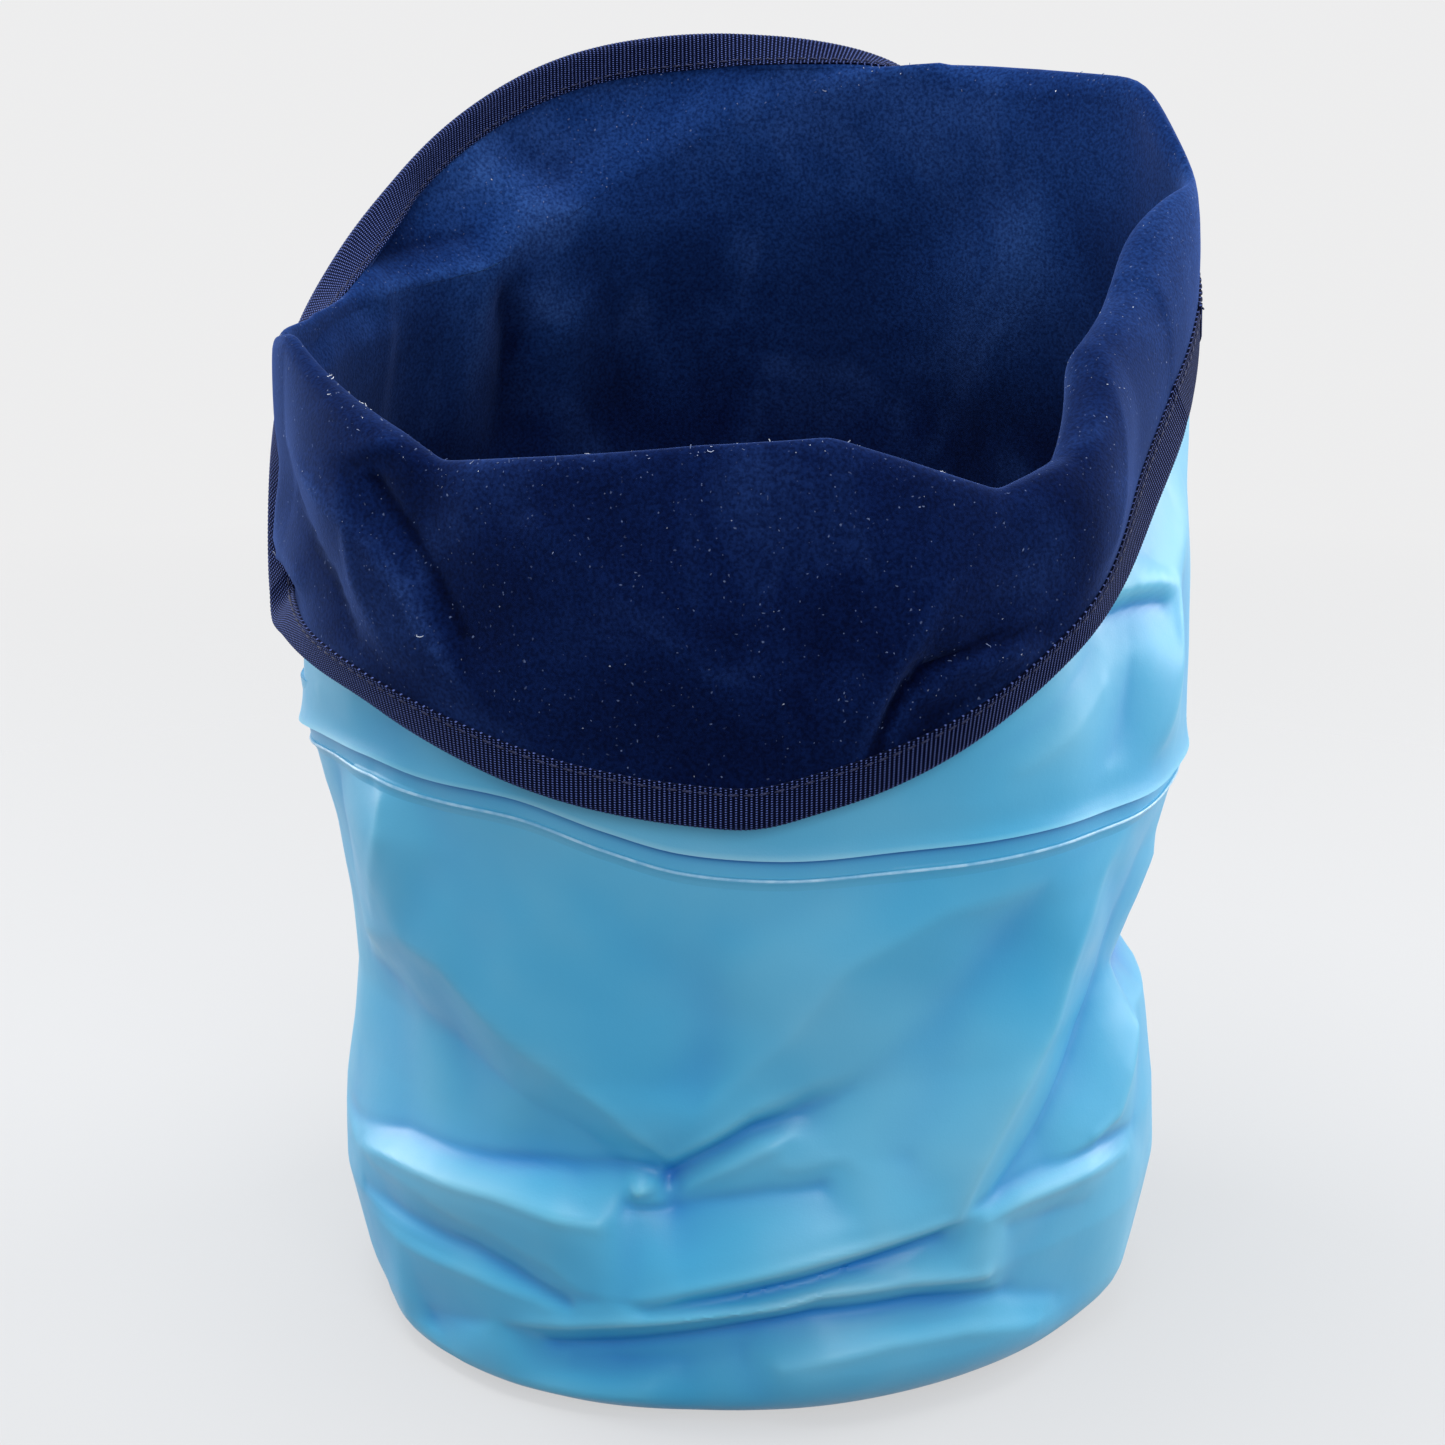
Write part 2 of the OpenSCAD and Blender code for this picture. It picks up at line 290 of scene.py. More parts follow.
# The columns stand closer together at the front, where the folds are sharp, and under the back seam.
front = np.linspace(195, 345, FRONT_COLUMNS, endpoint=False)
right_side = np.linspace(345, 447, SIDE_COLUMNS, endpoint=False)
back = np.linspace(447, 453, BACK_COLUMNS)
left_side = np.linspace(453, 555, SIDE_COLUMNS, endpoint=False)[1:]
angles = np.sort(np.concatenate([front, right_side, back, left_side]) % 360)
COLUMNS = len(angles)


def round_curve(points, at):
    """Smooth closed curve through rows of (angle, value, ...), read at the angles."""
    rows = np.array(sorted(points), float)
    turn = np.zeros(rows.shape[1])
    turn[0] = 360
    rows = np.vstack([rows[-2:] - turn, rows, rows[:2] + turn])
    slopes = (rows[2:, 1:] - rows[:-2, 1:]) / (rows[2:, :1] - rows[:-2, :1])
    rows = rows[1:-1]
    at = np.asarray(at, float) % 360
    i = np.clip(np.searchsorted(rows[:, 0], at, side="right") - 1, 0, len(rows) - 2)
    h = (rows[i + 1, 0] - rows[i, 0])[:, None]
    t = (at - rows[i, 0])[:, None] / h
    p, q, m, n = rows[i, 1:], rows[i + 1, 1:], slopes[i], slopes[i + 1]
    value = (1 + 2 * t) * (1 - t) ** 2 * p + t * (1 - t) ** 2 * h * m
    value += t * t * (3 - 2 * t) * q - t * t * (1 - t) * h * n
    return value if value.shape[1] > 1 else value[:, 0]


seam_line = [
    (10, 131), (50, 133), (90, 134), (130, 134), (165, 134.5), (188, 137), (205, 140.5), (219, 141), (229, 139.8),
    (243, 139.4), (254, 134.8), (263, 131), (274, 129.6), (287, 130.3), (300, 130.6), (332, 130.2),
]
seam_z = round_curve(seam_line, angles)

# Radius of the slumped wall at the right, back, left and front, by height.
slump_heights = [0, 13, 31, 48, 62, 78, 95, 112, 124, 150]
slump = {
    0: [92, 94.0, 97.0, 97.5, 96.5, 95.0, 95.0, 96.5, 100.0, 103.0],
    90: [92, 94.5, 97.0, 96.0, 94.5, 94.0, 95.5, 98.0, 99.5, 100.0],
    180: [86, 89.5, 93.5, 93.0, 91.5, 90.5, 92.0, 94.5, 97.0, 100.5],
    270: [92, 94.5, 97.0, 96.5, 95.5, 95.0, 96.5, 98.5, 99.5, 100.0],
}


def slumped(at, height):
    """Radius of the wall without its folds, for matching arrays of angles and heights."""
    share = np.radians(np.asarray(at, float))
    sides = [np.interp(height, slump_heights, slump[side]) for side in (0, 90, 180, 270)]
    right, back, left, front = sides
    mean = (right + back + left + front) / 4
    return (
        mean
        + (right - left) / 2 * np.cos(share)
        + (back - front) / 2 * np.sin(share)
        + (right + left - back - front) / 4 * np.cos(2 * share)
    )


wall_folds = {
    "overhang on the left": [
        (184, 44, 0), (198, 45, -1), (216, 52, -3), (233, 54, -4), (246, 57, -5), (254, 58.5, -5.5),
        (258, 58, -6),
    ],
    "edge of the shelf": [
        (205, 43, 1.4), (212, 45.5, 2.4), (226, 48.5, 3.2), (237, 49.5, 4.1), (247, 48, 4.6), (252, 47, 2),
    ],
    "long ridge on the left": [
        (192, 42, 0.5), (204, 41.5, 1.2), (222, 42, 1.8), (236, 40, 1.8), (246, 35, 1.5), (251, 29, 0.5),
    ],
    "left valley": [(205, 33, 0), (217, 34, -1.1), (232, 33.5, -2.2), (239, 31, -2.2), (247, 27, -1.1)],
    "low ridge on the left": [(203, 27, 0.7), (217, 27.5, 1.6), (234, 28, 1.8), (244, 26, 0.7)],
    "foot ridge": [
        (222, 11, 0.4), (236, 18, 1.4), (248, 22, 2.4), (257, 26, 3.2), (264, 28.5, 3.5), (274, 31, 3),
        (280, 33.5, 2.4), (291, 33.5, 2.2), (302, 31, 1.9),
    ],
    "foot valley": [
        (244, 15, -3), (252, 17, -5), (262, 20.5, -6.2), (272, 24, -6.2), (279, 26.5, -5.7), (293, 27, -4.6),
        (307, 24, -3.2), (318, 17, -1.1),
    ],
    "under the foot ridge": [(247, 11.5, -2.2), (254, 12.5, -4.2), (262, 14, -4.8), (270, 17, -4.2)],
    "crossing ridge": [
        (255, 29.5, 0.7), (263, 34, 2.7), (272, 38.5, 4.1), (279, 41.5, 4.6), (287, 44, 4.6), (297, 46.5, 3),
    ],
    "crossing valley": [
        (258, 28.2, -0.6), (264, 30.6, -2), (274, 34.2, -3.2), (284, 37.8, -3.4), (295, 42.4, -1.8),
    ],
    "left foot": [(206, 9, 1.6), (216, 7, 4), (228, 4.5, 4.8), (238, 4.5, 4.6), (248, 5.5, 3.4), (257, 7, 1.6)],
    "under the pinch": [(341, 74, -0.3), (352, 71, -0.4), (5, 72, -0.4)],
    "foot roll": [(275, 15, 0.4), (281, 17.5, 1.9), (289, 19.5, 1.9), (300, 18.5, 1.9), (313, 13, 1.1)],
    "scoop": [(256.5, 54, 0.8), (258.5, 55.5, -2.7)],
    "first fan ridge": [(261, 61, -2.6), (266, 66.5, 0), (272, 74, 1.4), (279, 79.5, 1.1), (283, 81, 0.2)],
    "first fan valley": [
        (260, 56.5, -8.1), (264, 61.5, -5.7), (271, 69, -4.1), (277, 72.5, -3.2), (283, 77, -1.4),
    ],
    "second fan ridge": [(262.5, 54.5, -4.1), (268, 60.5, -1.1), (273, 65.5, 0.3), (276, 68, -0.8)],
    "second fan valley": [
        (255, 50.5, -3.8), (261, 50, -5.7), (266, 52.5, -4.6), (273, 55, -3.2), (280, 56.5, -1.6),
    ],
    "third fan ridge": [(276, 61, -0.3), (283, 62.5, 0.8), (291, 61, 0.7)],
    "edge of the front panel": [
        (326, 125, 0.5), (321, 118, 2.4), (318, 108, 3.8), (315, 98, 4.6), (311.5, 84, 5), (306, 73, 5.6),
        (300.5, 59, 4.8), (297, 46.5, 2.6),
    ],
    "hollow beside the edge": [
        (336, 112, -1.2), (331, 98, -3.4), (327, 84, -4.4), (321, 72, -4.4), (313, 59, -3.6), (304, 49.5, -1.2),
    ],
    "pale flank": [(337, 71, 2.2), (332, 63, 3), (328, 55, 2.7), (323, 52.5, 1.4)],
    "side crease": [(300, 47.8, 0.5), (306, 49, -2.2), (314, 50, -2.4), (324, 50, -1.6), (336, 48, -0.5)],
    "lip of the side crease": [(302, 44.5, 1.6), (309, 46, 2), (320, 46, 2.2), (332, 44, 1.4)],
    "dimple": [(306, 41, -0.5), (314, 39.5, -1.4), (321, 38, -0.4)],
    "left corner ridge": [
        (219, 136, 0.6), (221, 131, 3.8), (221, 124, 5), (217.5, 114, 4.4), (213, 101, 2), (208, 95, 1),
    ],
    "panel ridge on the left": [
        (207, 95, 1), (222, 101, 3.6), (229, 98, 3.6), (236, 89, 3.1), (245, 80, 2.4), (252, 73, 1.4),
        (257, 66, -0.2), (260, 60, -4.1),
    ],
    "hollow under the left ridge": [
        (200, 86, -3.1), (212, 84, -4.1), (227, 79, -3.4), (240, 71, -1.9), (250, 64.5, -3.1),
    ],
    "panel ridge on the right": [
        (264, 72, -0.5), (271, 83, 1.2), (276, 91, 2.4), (282, 106, 3.1), (294, 116, 3.1), (310, 118, 1.7),
    ],
    "left facet": [(206, 131, -1), (205, 119, -1.2), (203, 107, -1)],
    "pinch on the right": [
        (333, 88, -4.2), (341, 82, -7.2), (352, 80, -8.2), (4, 80, -7.2), (15, 81, -3.8), (26, 84, -0.8),
    ],
    "brow over the pinch": [(346, 106, 0.6), (355, 104, 0), (10, 102, 0)],
    "left waist": [(190, 108, -1.6), (183, 92, -1), (186, 72, -0.6)],
    "back diamond, upper left": [(168, 96, 1.2), (150, 80, 2.4), (132, 92, 1), (118, 104, 0.2)],
    "back diamond, lower left": [(168, 34, 0.8), (150, 46, -2.6), (134, 58, -3.4), (122, 66, -1.6)],
    "back ridge, left": [(160, 66, -2.2), (146, 62, -4.4), (128, 50, 0.6), (112, 40, 1.4)],
    "back valley, middle": [(118, 78, -2.6), (104, 68, -3.8), (92, 62, -2.4), (80, 60, 0.4)],
    "back ridge, middle": [(110, 92, 1.2), (96, 84, 1.8), (82, 84, 1.4), (70, 90, 0.6)],
    "back valley, right": [(72, 44, -1.6), (60, 50, -4.2), (48, 56, -3), (36, 64, -0.6)],
    "back ridge, right": [(74, 34, 0.8), (58, 38, 1.6), (44, 42, 1.6), (30, 50, 1)],
    "back panel, right": [(52, 84, 1.6), (36, 92, 1), (22, 98, 0.4)],
    "right foot": [(345, 30, 1), (358, 34, 1.6), (14, 30, 0.8)],
    "back foot": [(30, 18, -1), (60, 20, -1.4), (100, 18, -0.8), (140, 16, -1.2), (180, 18, -0.6)],
}
quiet = [(a, 2, np.interp(a, (204, 216, 250, 262), (0, 5, 4.5, 1))) for a in range(0, 360, 12)]
quiet += [(a, 146, 0) for a in range(0, 360, 15)]
quiet += [(a, 126, 0) for a in (20, 45, 70, 95, 120, 145, 170, 232, 248, 284, 320, 345)]
quiet += [(a, 138.5, 0) for a in (198, 206, 213, 220, 227, 235)]
quiet += [(266, 110, -1), (266, 96, -1.8), (265, 82, -2.4), (304, 106, -1.6), (298, 95, -2)]
MM_PER_DEGREE = 1.66
CREASE_STEP = 0.8
CREASE_WIDTH = 2.4
SLACK_PASSES = 26


def soften(field, around, along):
    """Rounds the creases of a field of rows by columns, closed around."""
    for _ in range(around):
        field = (np.roll(field, 1, 1) + 2 * field + np.roll(field, -1, 1)) / 4
    for _ in range(along):
        padded = np.vstack([field[:1], field, field[-1:]])
        field = (padded[:-2] + 2 * padded[1:-1] + padded[2:]) / 4
    return field


def folded(lines, loose, at, heights):
    """Depth of the cloth's folds on a grid: flat facets between the named crease lines."""
    points, depths, edges = [], [], []
    for shift in (-360, 0, 360):
        for line in list(lines.values()) + [[p] for p in loose]:
            run = [line[0][0]]
            for a, z, d in line[1:]:
                run.append(a + 360 * round((run[-1] - a) / 360))
            if max(run) + shift < -90 or min(run) + shift > 450:
                continue
            start = len(points)
            points += [((a + shift) * MM_PER_DEGREE, z) for a, (_, z, _) in zip(run, line)]
            depths += [d for a, z, d in line]
            edges += [(start + k, start + k + 1) for k in range(len(line) - 1)]
    corners, _, faces, came_from, _, _ = delaunay_2d_cdt(points, edges, [], 0, 1e-5)
    corners = np.array([tuple(c) for c in corners])
    known = np.array(points)
    levels = np.zeros(len(corners))
    for k, origin in enumerate(came_from):
        if origin:
            levels[k] = depths[origin[0]]
        else:
            near = np.argsort(np.hypot(*(known - corners[k]).T))[:3]
            levels[k] = np.mean([depths[n] for n in near])
    xs = np.asarray(at) * MM_PER_DEGREE
    field = np.zeros((len(heights), len(xs)))
    for face in faces:
        (x0, z0), (x1, z1), (x2, z2) = corners[list(face)]
        area = (x1 - x0) * (z2 - z0) - (x2 - x0) * (z1 - z0)
        if abs(area) < 1e-9:
            continue
        i0, i1 = np.searchsorted(heights, [min(z0, z1, z2) - 1e-6, max(z0, z1, z2) + 1e-6])
        j0, j1 = np.searchsorted(xs, [min(x0, x1, x2) - 1e-6, max(x0, x1, x2) + 1e-6])
        if i0 == i1 or j0 == j1:
            continue
        gx, gz = np.meshgrid(xs[j0:j1], heights[i0:i1])
        w1 = ((gx - x0) * (z2 - z0) - (x2 - x0) * (gz - z0)) / area
        w2 = ((x1 - x0) * (gz - z0) - (gx - x0) * (z1 - z0)) / area
        inside = (w1 >= -1e-6) & (w2 >= -1e-6) & (w1 + w2 <= 1 + 1e-6)
        level = levels[list(face)]
        value = level[0] + w1 * (level[1] - level[0]) + w2 * (level[2] - level[0])
        field[i0:i1, j0:j1][inside] = value[inside]
    return field


def crumpled(lines, loose, heights, rounding=3):
    """Depth of the folds at the grid's angles: crisp beside the crease lines, rounded between them."""
    fine = np.arange(720) / 2
    facets = folded(lines, loose, fine, heights)
    spots = []
    for line in lines.values():
        for (a0, z0, _), (a1, z1, _) in zip(line, line[1:]):
            a1 += 360 * round((a0 - a1) / 360)
            steps = max(2, int(math.hypot((a1 - a0) * MM_PER_DEGREE, z1 - z0) / CREASE_STEP))
            spots += [(a0 + (a1 - a0) * k / steps, z0 + (z1 - z0) * k / steps) for k in range(steps + 1)]
    creases = KDTree(3 * len(spots))
    for k, (a, z) in enumerate(spots):
        for lap in (-1, 0, 1):
            creases.insert(((a + 360 * lap) * MM_PER_DEGREE, z, 0), 3 * k + lap + 1)
    creases.balance()
    gap = np.array([[creases.find((a * MM_PER_DEGREE, z, 0))[2] for a in fine] for z in heights])
    crisp = np.exp(-((gap / CREASE_WIDTH) ** 2))
    field = crisp * soften(facets, rounding, rounding) + (1 - crisp) * soften(facets, SLACK_PASSES, SLACK_PASSES)
    place = angles * 2
    low = place.astype(int)
    share = place - low
    return field[:, low] * (1 - share) + field[:, (low + 1) % 720] * share


def undulation(at, heights, size, seed, waves=9):
    """Slow uneven swell of slack cloth, on a grid, from a few crossing waves."""
    draw = np.random.default_rng(seed)
    field = np.zeros((len(heights), len(at)))
    for _ in range(waves):
        turns = draw.integers(3, 17)
        rise = draw.uniform(-0.12, 0.12)
        phase = draw.uniform(0, 2 * math.pi)
        swell = np.cos(np.radians(at)[None, :] * turns + rise * np.asarray(heights)[:, None] + phase)
        field += swell / math.sqrt(waves)
    return size * field


fold_heights = np.linspace(0, 150, 201)
wall_field = crumpled(wall_folds, quiet, fold_heights) + undulation(angles, fold_heights, 0.35, 4)


def at_height(field, heights, z):
    """Field of rows by columns, read at a height for each column."""
    place = np.clip((z - heights[0]) / (heights[1] - heights[0]), 0, len(heights) - 1.01)
    low = place.astype(int)
    share = place - low
    return field[low, np.arange(COLUMNS)] * (1 - share) + field[low + 1, np.arange(COLUMNS)] * share


CREASE_DEPTH = 3.4
CREASE_PASSES = 24
HOLLOW_DEPTH = 6.0
HOLLOW_PASSES = 90
EDGE_PASSES = 5
FOLD_SHARE = 0.3


def creasing(field, edge=None):
    """How far cloth lies in a fold, for painted highlight and shade: 1 in a valley, -1 on a ridge and 0 where it is
    even.

    An edge adds the fine line along each crease, and is the depth at which it is full.
    """

    def below(passes):
        return soften(field, passes, passes) - field

    fold = below(CREASE_PASSES) / CREASE_DEPTH + below(HOLLOW_PASSES) / HOLLOW_DEPTH
    if edge is not None:
        fold = FOLD_SHARE * fold + below(EDGE_PASSES) / edge
    return np.clip(fold, -1, 1)


# The wall's crease paints highlight on its ridges and shade in its valleys.
wall_crease = creasing(wall_field)


def wall_radius(height):
    """Outer radius of the folded wall at a height for each column."""
    return slumped(angles, height) + at_height(wall_field, fold_heights, height)


def new_piece(name, points, faces):
    """Piece from points in millimetres and faces, selected alone."""
    mesh = bpy.data.meshes.new(name)
    mesh.from_pydata((np.asarray(points) * MM).tolist(), [], faces)
    mesh.update()
    piece = bpy.data.objects.new(name, mesh)
    bpy.context.scene.collection.objects.link(piece)
    bpy.ops.object.select_all(action="DESELECT")
    piece.select_set(True)
    bpy.context.view_layer.objects.active = piece
    return piece


def cloth_shell(name, outer, inner, ring=True, lay=None, crease=None):
    """Closed sheet of cloth between two grids of points in millimetres, rows by columns.

    A lay gives the distance along for each column and across for each row, for a woven pattern.
    A crease says how far each point lies in a fold, for a painted highlight on ridges and painted shade in valleys.
    """
    rings = np.concatenate([outer, inner[::-1]])
    rows, columns = rings.shape[:2]
    spans = columns if ring else columns - 1
    i, j = np.meshgrid(np.arange(rows), np.arange(spans), indexing="ij")
    up, on = (i + 1) % rows, (j + 1) % columns
    quads = np.stack([i * columns + j, i * columns + on, up * columns + on, up * columns + j], -1).reshape(-1, 4)
    if not ring:
        half = rows // 2
        k = np.arange(half - 1)
        first = np.stack([k, k + 1, rows - 2 - k, rows - 1 - k], -1) * columns
        quads = np.vstack([quads, first, first[:, ::-1] + columns - 1])
    piece = new_piece(name, rings.reshape(-1, 3), quads.tolist())
    mesh = piece.data
    if crease is not None:
        fold_light = mesh.attributes.new("crease", "FLOAT", "POINT")
        fold_light.data.foreach_set("value", np.concatenate([crease, crease[::-1]]).astype(np.float32).ravel())
    if lay is not None:
        along, across = np.append(lay[0], lay[0][-1] + lay[0][1]), np.append(lay[1], lay[1][0])
        corners = [(along[j], across[i]), (along[j + 1], across[i])]
        corners += [(along[j + 1], across[i + 1]), (along[j], across[i + 1])]
        flat = np.stack([np.stack(pair, -1) for pair in corners], -2).reshape(-1)
        mesh.uv_layers.new(name="weave").data.foreach_set("uv", flat)
    bpy.ops.object.shade_smooth_by_angle(angle=math.radians(65))
    return piece


def turned(radius, height):
    """Points of a grid from radius and height, at the grid's angles."""
    a = np.radians(np.broadcast_to(angles, radius.shape))
    return np.stack([radius * np.cos(a), radius * np.sin(a), np.broadcast_to(height, radius.shape)], -1)


# Low powers make the foot square, where the wall sits down on its own lower edge.
foot_shape = [
    (0, 0.8), (60, 0.9), (120, 0.9), (180, 0.75), (203, 0.5), (218, 0.3), (245, 0.3), (259, 0.42), (273, 0.62),
    (292, 0.95), (312, 1.0), (337, 0.9),
]
foot_power = round_curve(foot_shape, angles)


def wall_grid(inset, low_row=0):
    """Wall from its hem under the lining, round the foot and up behind the collar."""
    rows_r, rows_z = [], []
    for r in (FLANGE_R, (FLANGE_R + BASE_EDGE_R) / 2, BASE_EDGE_R - 1):
        rows_r.append(np.full(COLUMNS, r))
        rows_z.append(np.full(COLUMNS, FLANGE_Z + inset))
    foot_top = FLANGE_Z + FOOT_R
    for k in range(FOOT_ROWS):
        turn = math.radians(90 * k / FOOT_ROWS)
        z = np.full(COLUMNS, foot_top - FOOT_R * math.cos(turn))
        fullness = math.sin(turn) ** foot_power
        rows_r.append(BASE_EDGE_R + (wall_radius(z) - BASE_EDGE_R) * fullness - inset * math.sin(turn))
        rows_z.append(z + inset * math.cos(turn))
    for share in np.interp(np.linspace(0, 1, SIDE_ROWS + 1), (0, 0.62, 1), (0, 0.47, 1)):
        z = foot_top + (seam_z + LAP_H - foot_top) * share
        rows_r.append(wall_radius(z) - inset)
        rows_z.append(z)
    return turned(np.array(rows_r), np.array(rows_z))[low_row:]


wall_outer = wall_grid(0)
wall = cloth_shell(
    "wall_cloth", wall_outer, wall_grid(SHEET_T), crease=at_height(wall_crease, fold_heights, wall_outer[..., 2])
)
wall.data.materials.append(coated)
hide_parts("wall_panel")
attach(wall, "body")
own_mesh(wall)

# Wall lining: the velour face bonded to the inside of the wall.
# It begins just inside the foot, over the edge of the base lining.
BOND = 0.15
PILE_T = 0.6
FIRST_LINED_ROW = 5
lining_outer = SHEET_T + BOND
wall_lining = cloth_shell(
    "wall_lining_velour",
    wall_grid(lining_outer, FIRST_LINED_ROW),
    wall_grid(lining_outer + PILE_T, FIRST_LINED_ROW),
)
wall_lining.data.materials.append(velour)
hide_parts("wall_lining")
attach(wall_lining, "body")
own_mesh(wall_lining)

# Back seam of the wall: a narrow strip of the same cloth, welded over the joint of the panel.
# It follows the wall's folds from the foot to the lap seam.
BACK_SEAM_T = 0.4
HEM_ROWS = 3
ROWS_UNDER_LAP = 8
back_columns = np.where(np.abs(angles - 90) <= 3.01)[0]
seam_rows = slice(HEM_ROWS + FOOT_ROWS, -ROWS_UNDER_LAP)
wall_back_seam = cloth_shell(
    "wall_back_seam_strip",
    wall_grid(-BOND - BACK_SEAM_T)[seam_rows][:, back_columns],
    wall_grid(-BOND)[seam_rows][:, back_columns],
    ring=False,
)
wall_back_seam.data.materials.append(coated)
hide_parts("wall_back_seam")
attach(wall_back_seam, "body")
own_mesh(wall_back_seam)

# Seam band: a welded strip between wall and collar, about 4 mm of it in view.
# Its lower edge is a rounded bead that catches the light.
BAND_H = 4.0
BAND_TUCK = 4.0
BAND_T = 0.3


def band_point(rise, out):
    """Ring of the band: height above the seam line, and distance out from the wall."""
    z = seam_z + rise
    return turned((wall_radius(z) + out)[None, :], z[None, :])[0]


# Height, stand-off and crease of the band's face, from its tucked edge down to the bead and its tail. The crease
# paints shadow on the band under the collar's edge, fading down towards the bead.
bead_top = -BAND_H
band_face = [
    (BAND_TUCK, BAND_T, 1), (2.0, BAND_T, 1), (0.0, BAND_T, 1), (-0.5, BAND_T, 1), (-1.0, BAND_T, 0.45),
    (-2.0, BAND_T, 0.2), (-3.4, BAND_T, 0.1),
    (bead_top, 0.34, 0), (bead_top - 0.12, 0.75, 0), (bead_top - 0.35, 0.98, 0), (bead_top - 0.7, 0.92, 0),
    (bead_top - 1.2, 0.5, 0), (bead_top - 1.8, 0.1, 0), (bead_top - 2.8, -0.15, 0),
][::-1]
BEAD_ROWS = (3, 5)
band_outer = np.array([band_point(rise, BOND + out) for rise, out, _ in band_face])
band_inner = np.array([band_point(rise, 0) for rise, _, _ in band_face])
band_painted_shadow = np.repeat(np.array([[crease] for _, _, crease in band_face], float), COLUMNS, 1)
seam_band = cloth_shell("seam_band_strip", band_outer, band_inner, crease=band_painted_shadow)
seam_band.data.materials.append(coated)
# The top of the bead is painted pale: a painted highlight along the bead.
bead_highlight, tree, shader, place = new_material("bead_painted_highlight", (0.42, 0.62, 0.76), 0.3)
highlight_grain = noise(tree, place, 300, 3)
shades = [(0.35, (0.18, 0.48, 0.71)), (0.65, (0.38, 0.65, 0.82))]
tree.links.new(ramp(tree, highlight_grain, shades), shader.inputs["Base Color"])
bump(tree, shader, highlight_grain, 0.2, 0.0002)
seam_band.data.materials.append(bead_highlight)
for face in seam_band.data.polygons[BEAD_ROWS[0] * COLUMNS : BEAD_ROWS[1] * COLUMNS]:
    face.material_index = 1
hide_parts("seam_band")
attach(seam_band, "mouth")

# Collar: the upper panel of coated cloth, lapped over the band and drawn up to the fold.
# Its lower edge stands off a little and throws the dark line over the band.
COLLAR_ROWS = 60
EDGE_LIFT = 0.9
EDGE_ROWS = 4
EDGE_PAINTED_HIGHLIGHT = -0.9
COLLAR_CLEAR = 0.3
COLLAR_STAYS_WIDE = 1.7
FOOT_FADE = 0.12
FOLD_FADE = 0.08


def straight_curve(points, at):
    """Closed curve of straight stretches through rows of (angle, value, ...), read at the angles."""
    rows = np.array(sorted(points), float)
    turn = np.zeros(rows.shape[1])
    turn[0] = 360
    rows = np.vstack([rows[-1:] - turn, rows, rows[:1] + turn])
    return np.stack([np.interp(at, rows[:, 0], values) for values in rows[:, 1:].T], -1)


crest_line = [
    (3, 95, 253), (9, 106.4, 253), (17, 101.6, 263.5), (27, 105, 275), (45, 97, 276), (64, 93.5, 277), (90, 93, 266),
    (110, 93, 250), (132, 94, 232), (150, 98, 229), (173, 100, 223), (189, 104, 222), (202, 102, 226), (213, 100, 219),
    (227, 99, 211), (233, 98, 206), (243, 97, 208), (265, 96, 212), (280, 96.5, 213.5), (288, 97, 209),
    (300, 98.5, 201.5), (311, 94.7, 206), (327, 81.5, 224), (342, 82, 233), (355, 84.5, 247),
]
hem_line = [
    (0, 101.8, 220), (13, 106.6, 230), (27, 110, 240), (42, 107.6, 250), (56, 106.5, 262), (65.5, 101, 276),
    (78, 99, 281.6), (88, 99, 283.2), (97, 98.9, 283.3), (107.5, 100, 281.4), (116.6, 101.4, 277.6),
    (125.7, 102.1, 270.8), (135.8, 102.8, 260.6), (145, 102.6, 249), (153, 104.2, 238), (160.5, 105, 227),
    (165, 105.6, 221), (177, 104.4, 205), (186, 104.6, 193), (194, 106.2, 166), (203, 106.2, 162.6),
    (212, 106.2, 160.2), (222, 105.9, 157.2), (229, 105.4, 153.2), (236, 105.1, 149.3), (243, 105, 145.6),
    (250, 104.9, 142.7), (257, 104.8, 140.7), (264, 104.9, 139.4), (271.6, 105, 138.8), (278, 105.3, 141.8),
    (284, 105.6, 145), (290, 105.8, 149.2), (296, 106, 154.4), (303, 106.2, 162), (311, 106.3, 171.5),
    (330, 99.2, 191), (345.5, 99.2, 206),
]
crest_r, crest_z = straight_curve(crest_line, angles).T
hem_r, hem_z = round_curve(hem_line, angles).T


def eased(line, passes):
    """Closed line of values, rounded by a few passes."""
    return soften(line[None, :], passes, 0)[0]


crest_r, crest_z = eased(crest_r, 3), eased(crest_z, 4)
hem_r, hem_z = eased(hem_r, 12), eased(hem_z, 12)

# The turn from a hanging rim to a standing one, and the width of the roll at the fold.
TURN_SPAN = 24.0
FULL_DROP = 12
NEAR_LEVEL = -10
CREST_H = 5.0
CREST_SHARE = 0.07
HANGING_LEAD = 0.9
STANDING_LEAD = 0.3
LEAST_LEAD = 2.0
ROLL_W = 5.0
FLARE_ROLL = 3.5
FULL_FLARE = 0.7
FOLD_BELOW = 3
CATCH_UP = 0.9
TAPE_W = 7.5
CUFF_ROWS = 56

drop = crest_z - hem_z
flare_line = [
    (60, 0), (120, 0), (168, 0), (178, 20), (186, 40), (196, 40), (204, 18), (213, -8), (222, -18), (232, -12), (245, -2),
    (270, 0), (285, -4), (298, -14), (310, -8), (320, 10), (330, 24), (342, 26), (354, 10), (4, 0),
]
flare = np.radians(round_curve(flare_line, angles))
hanging = -np.pi / 2 * np.clip(drop / TURN_SPAN, -1, 1)
hang_out = np.stack([np.cos(hanging), np.sin(hanging)], -1)
flared = np.clip(flare / FULL_FLARE, 0, 1)
tilt = hanging + flare
rim_out = np.stack([np.cos(tilt), np.sin(tilt)], -1)
hem = np.stack([hem_r, hem_z], -1)
tape_start = hem - TAPE_W * rim_out
lead = LEAST_LEAD + np.where(drop > 0, HANGING_LEAD * drop, -STANDING_LEAD * drop)


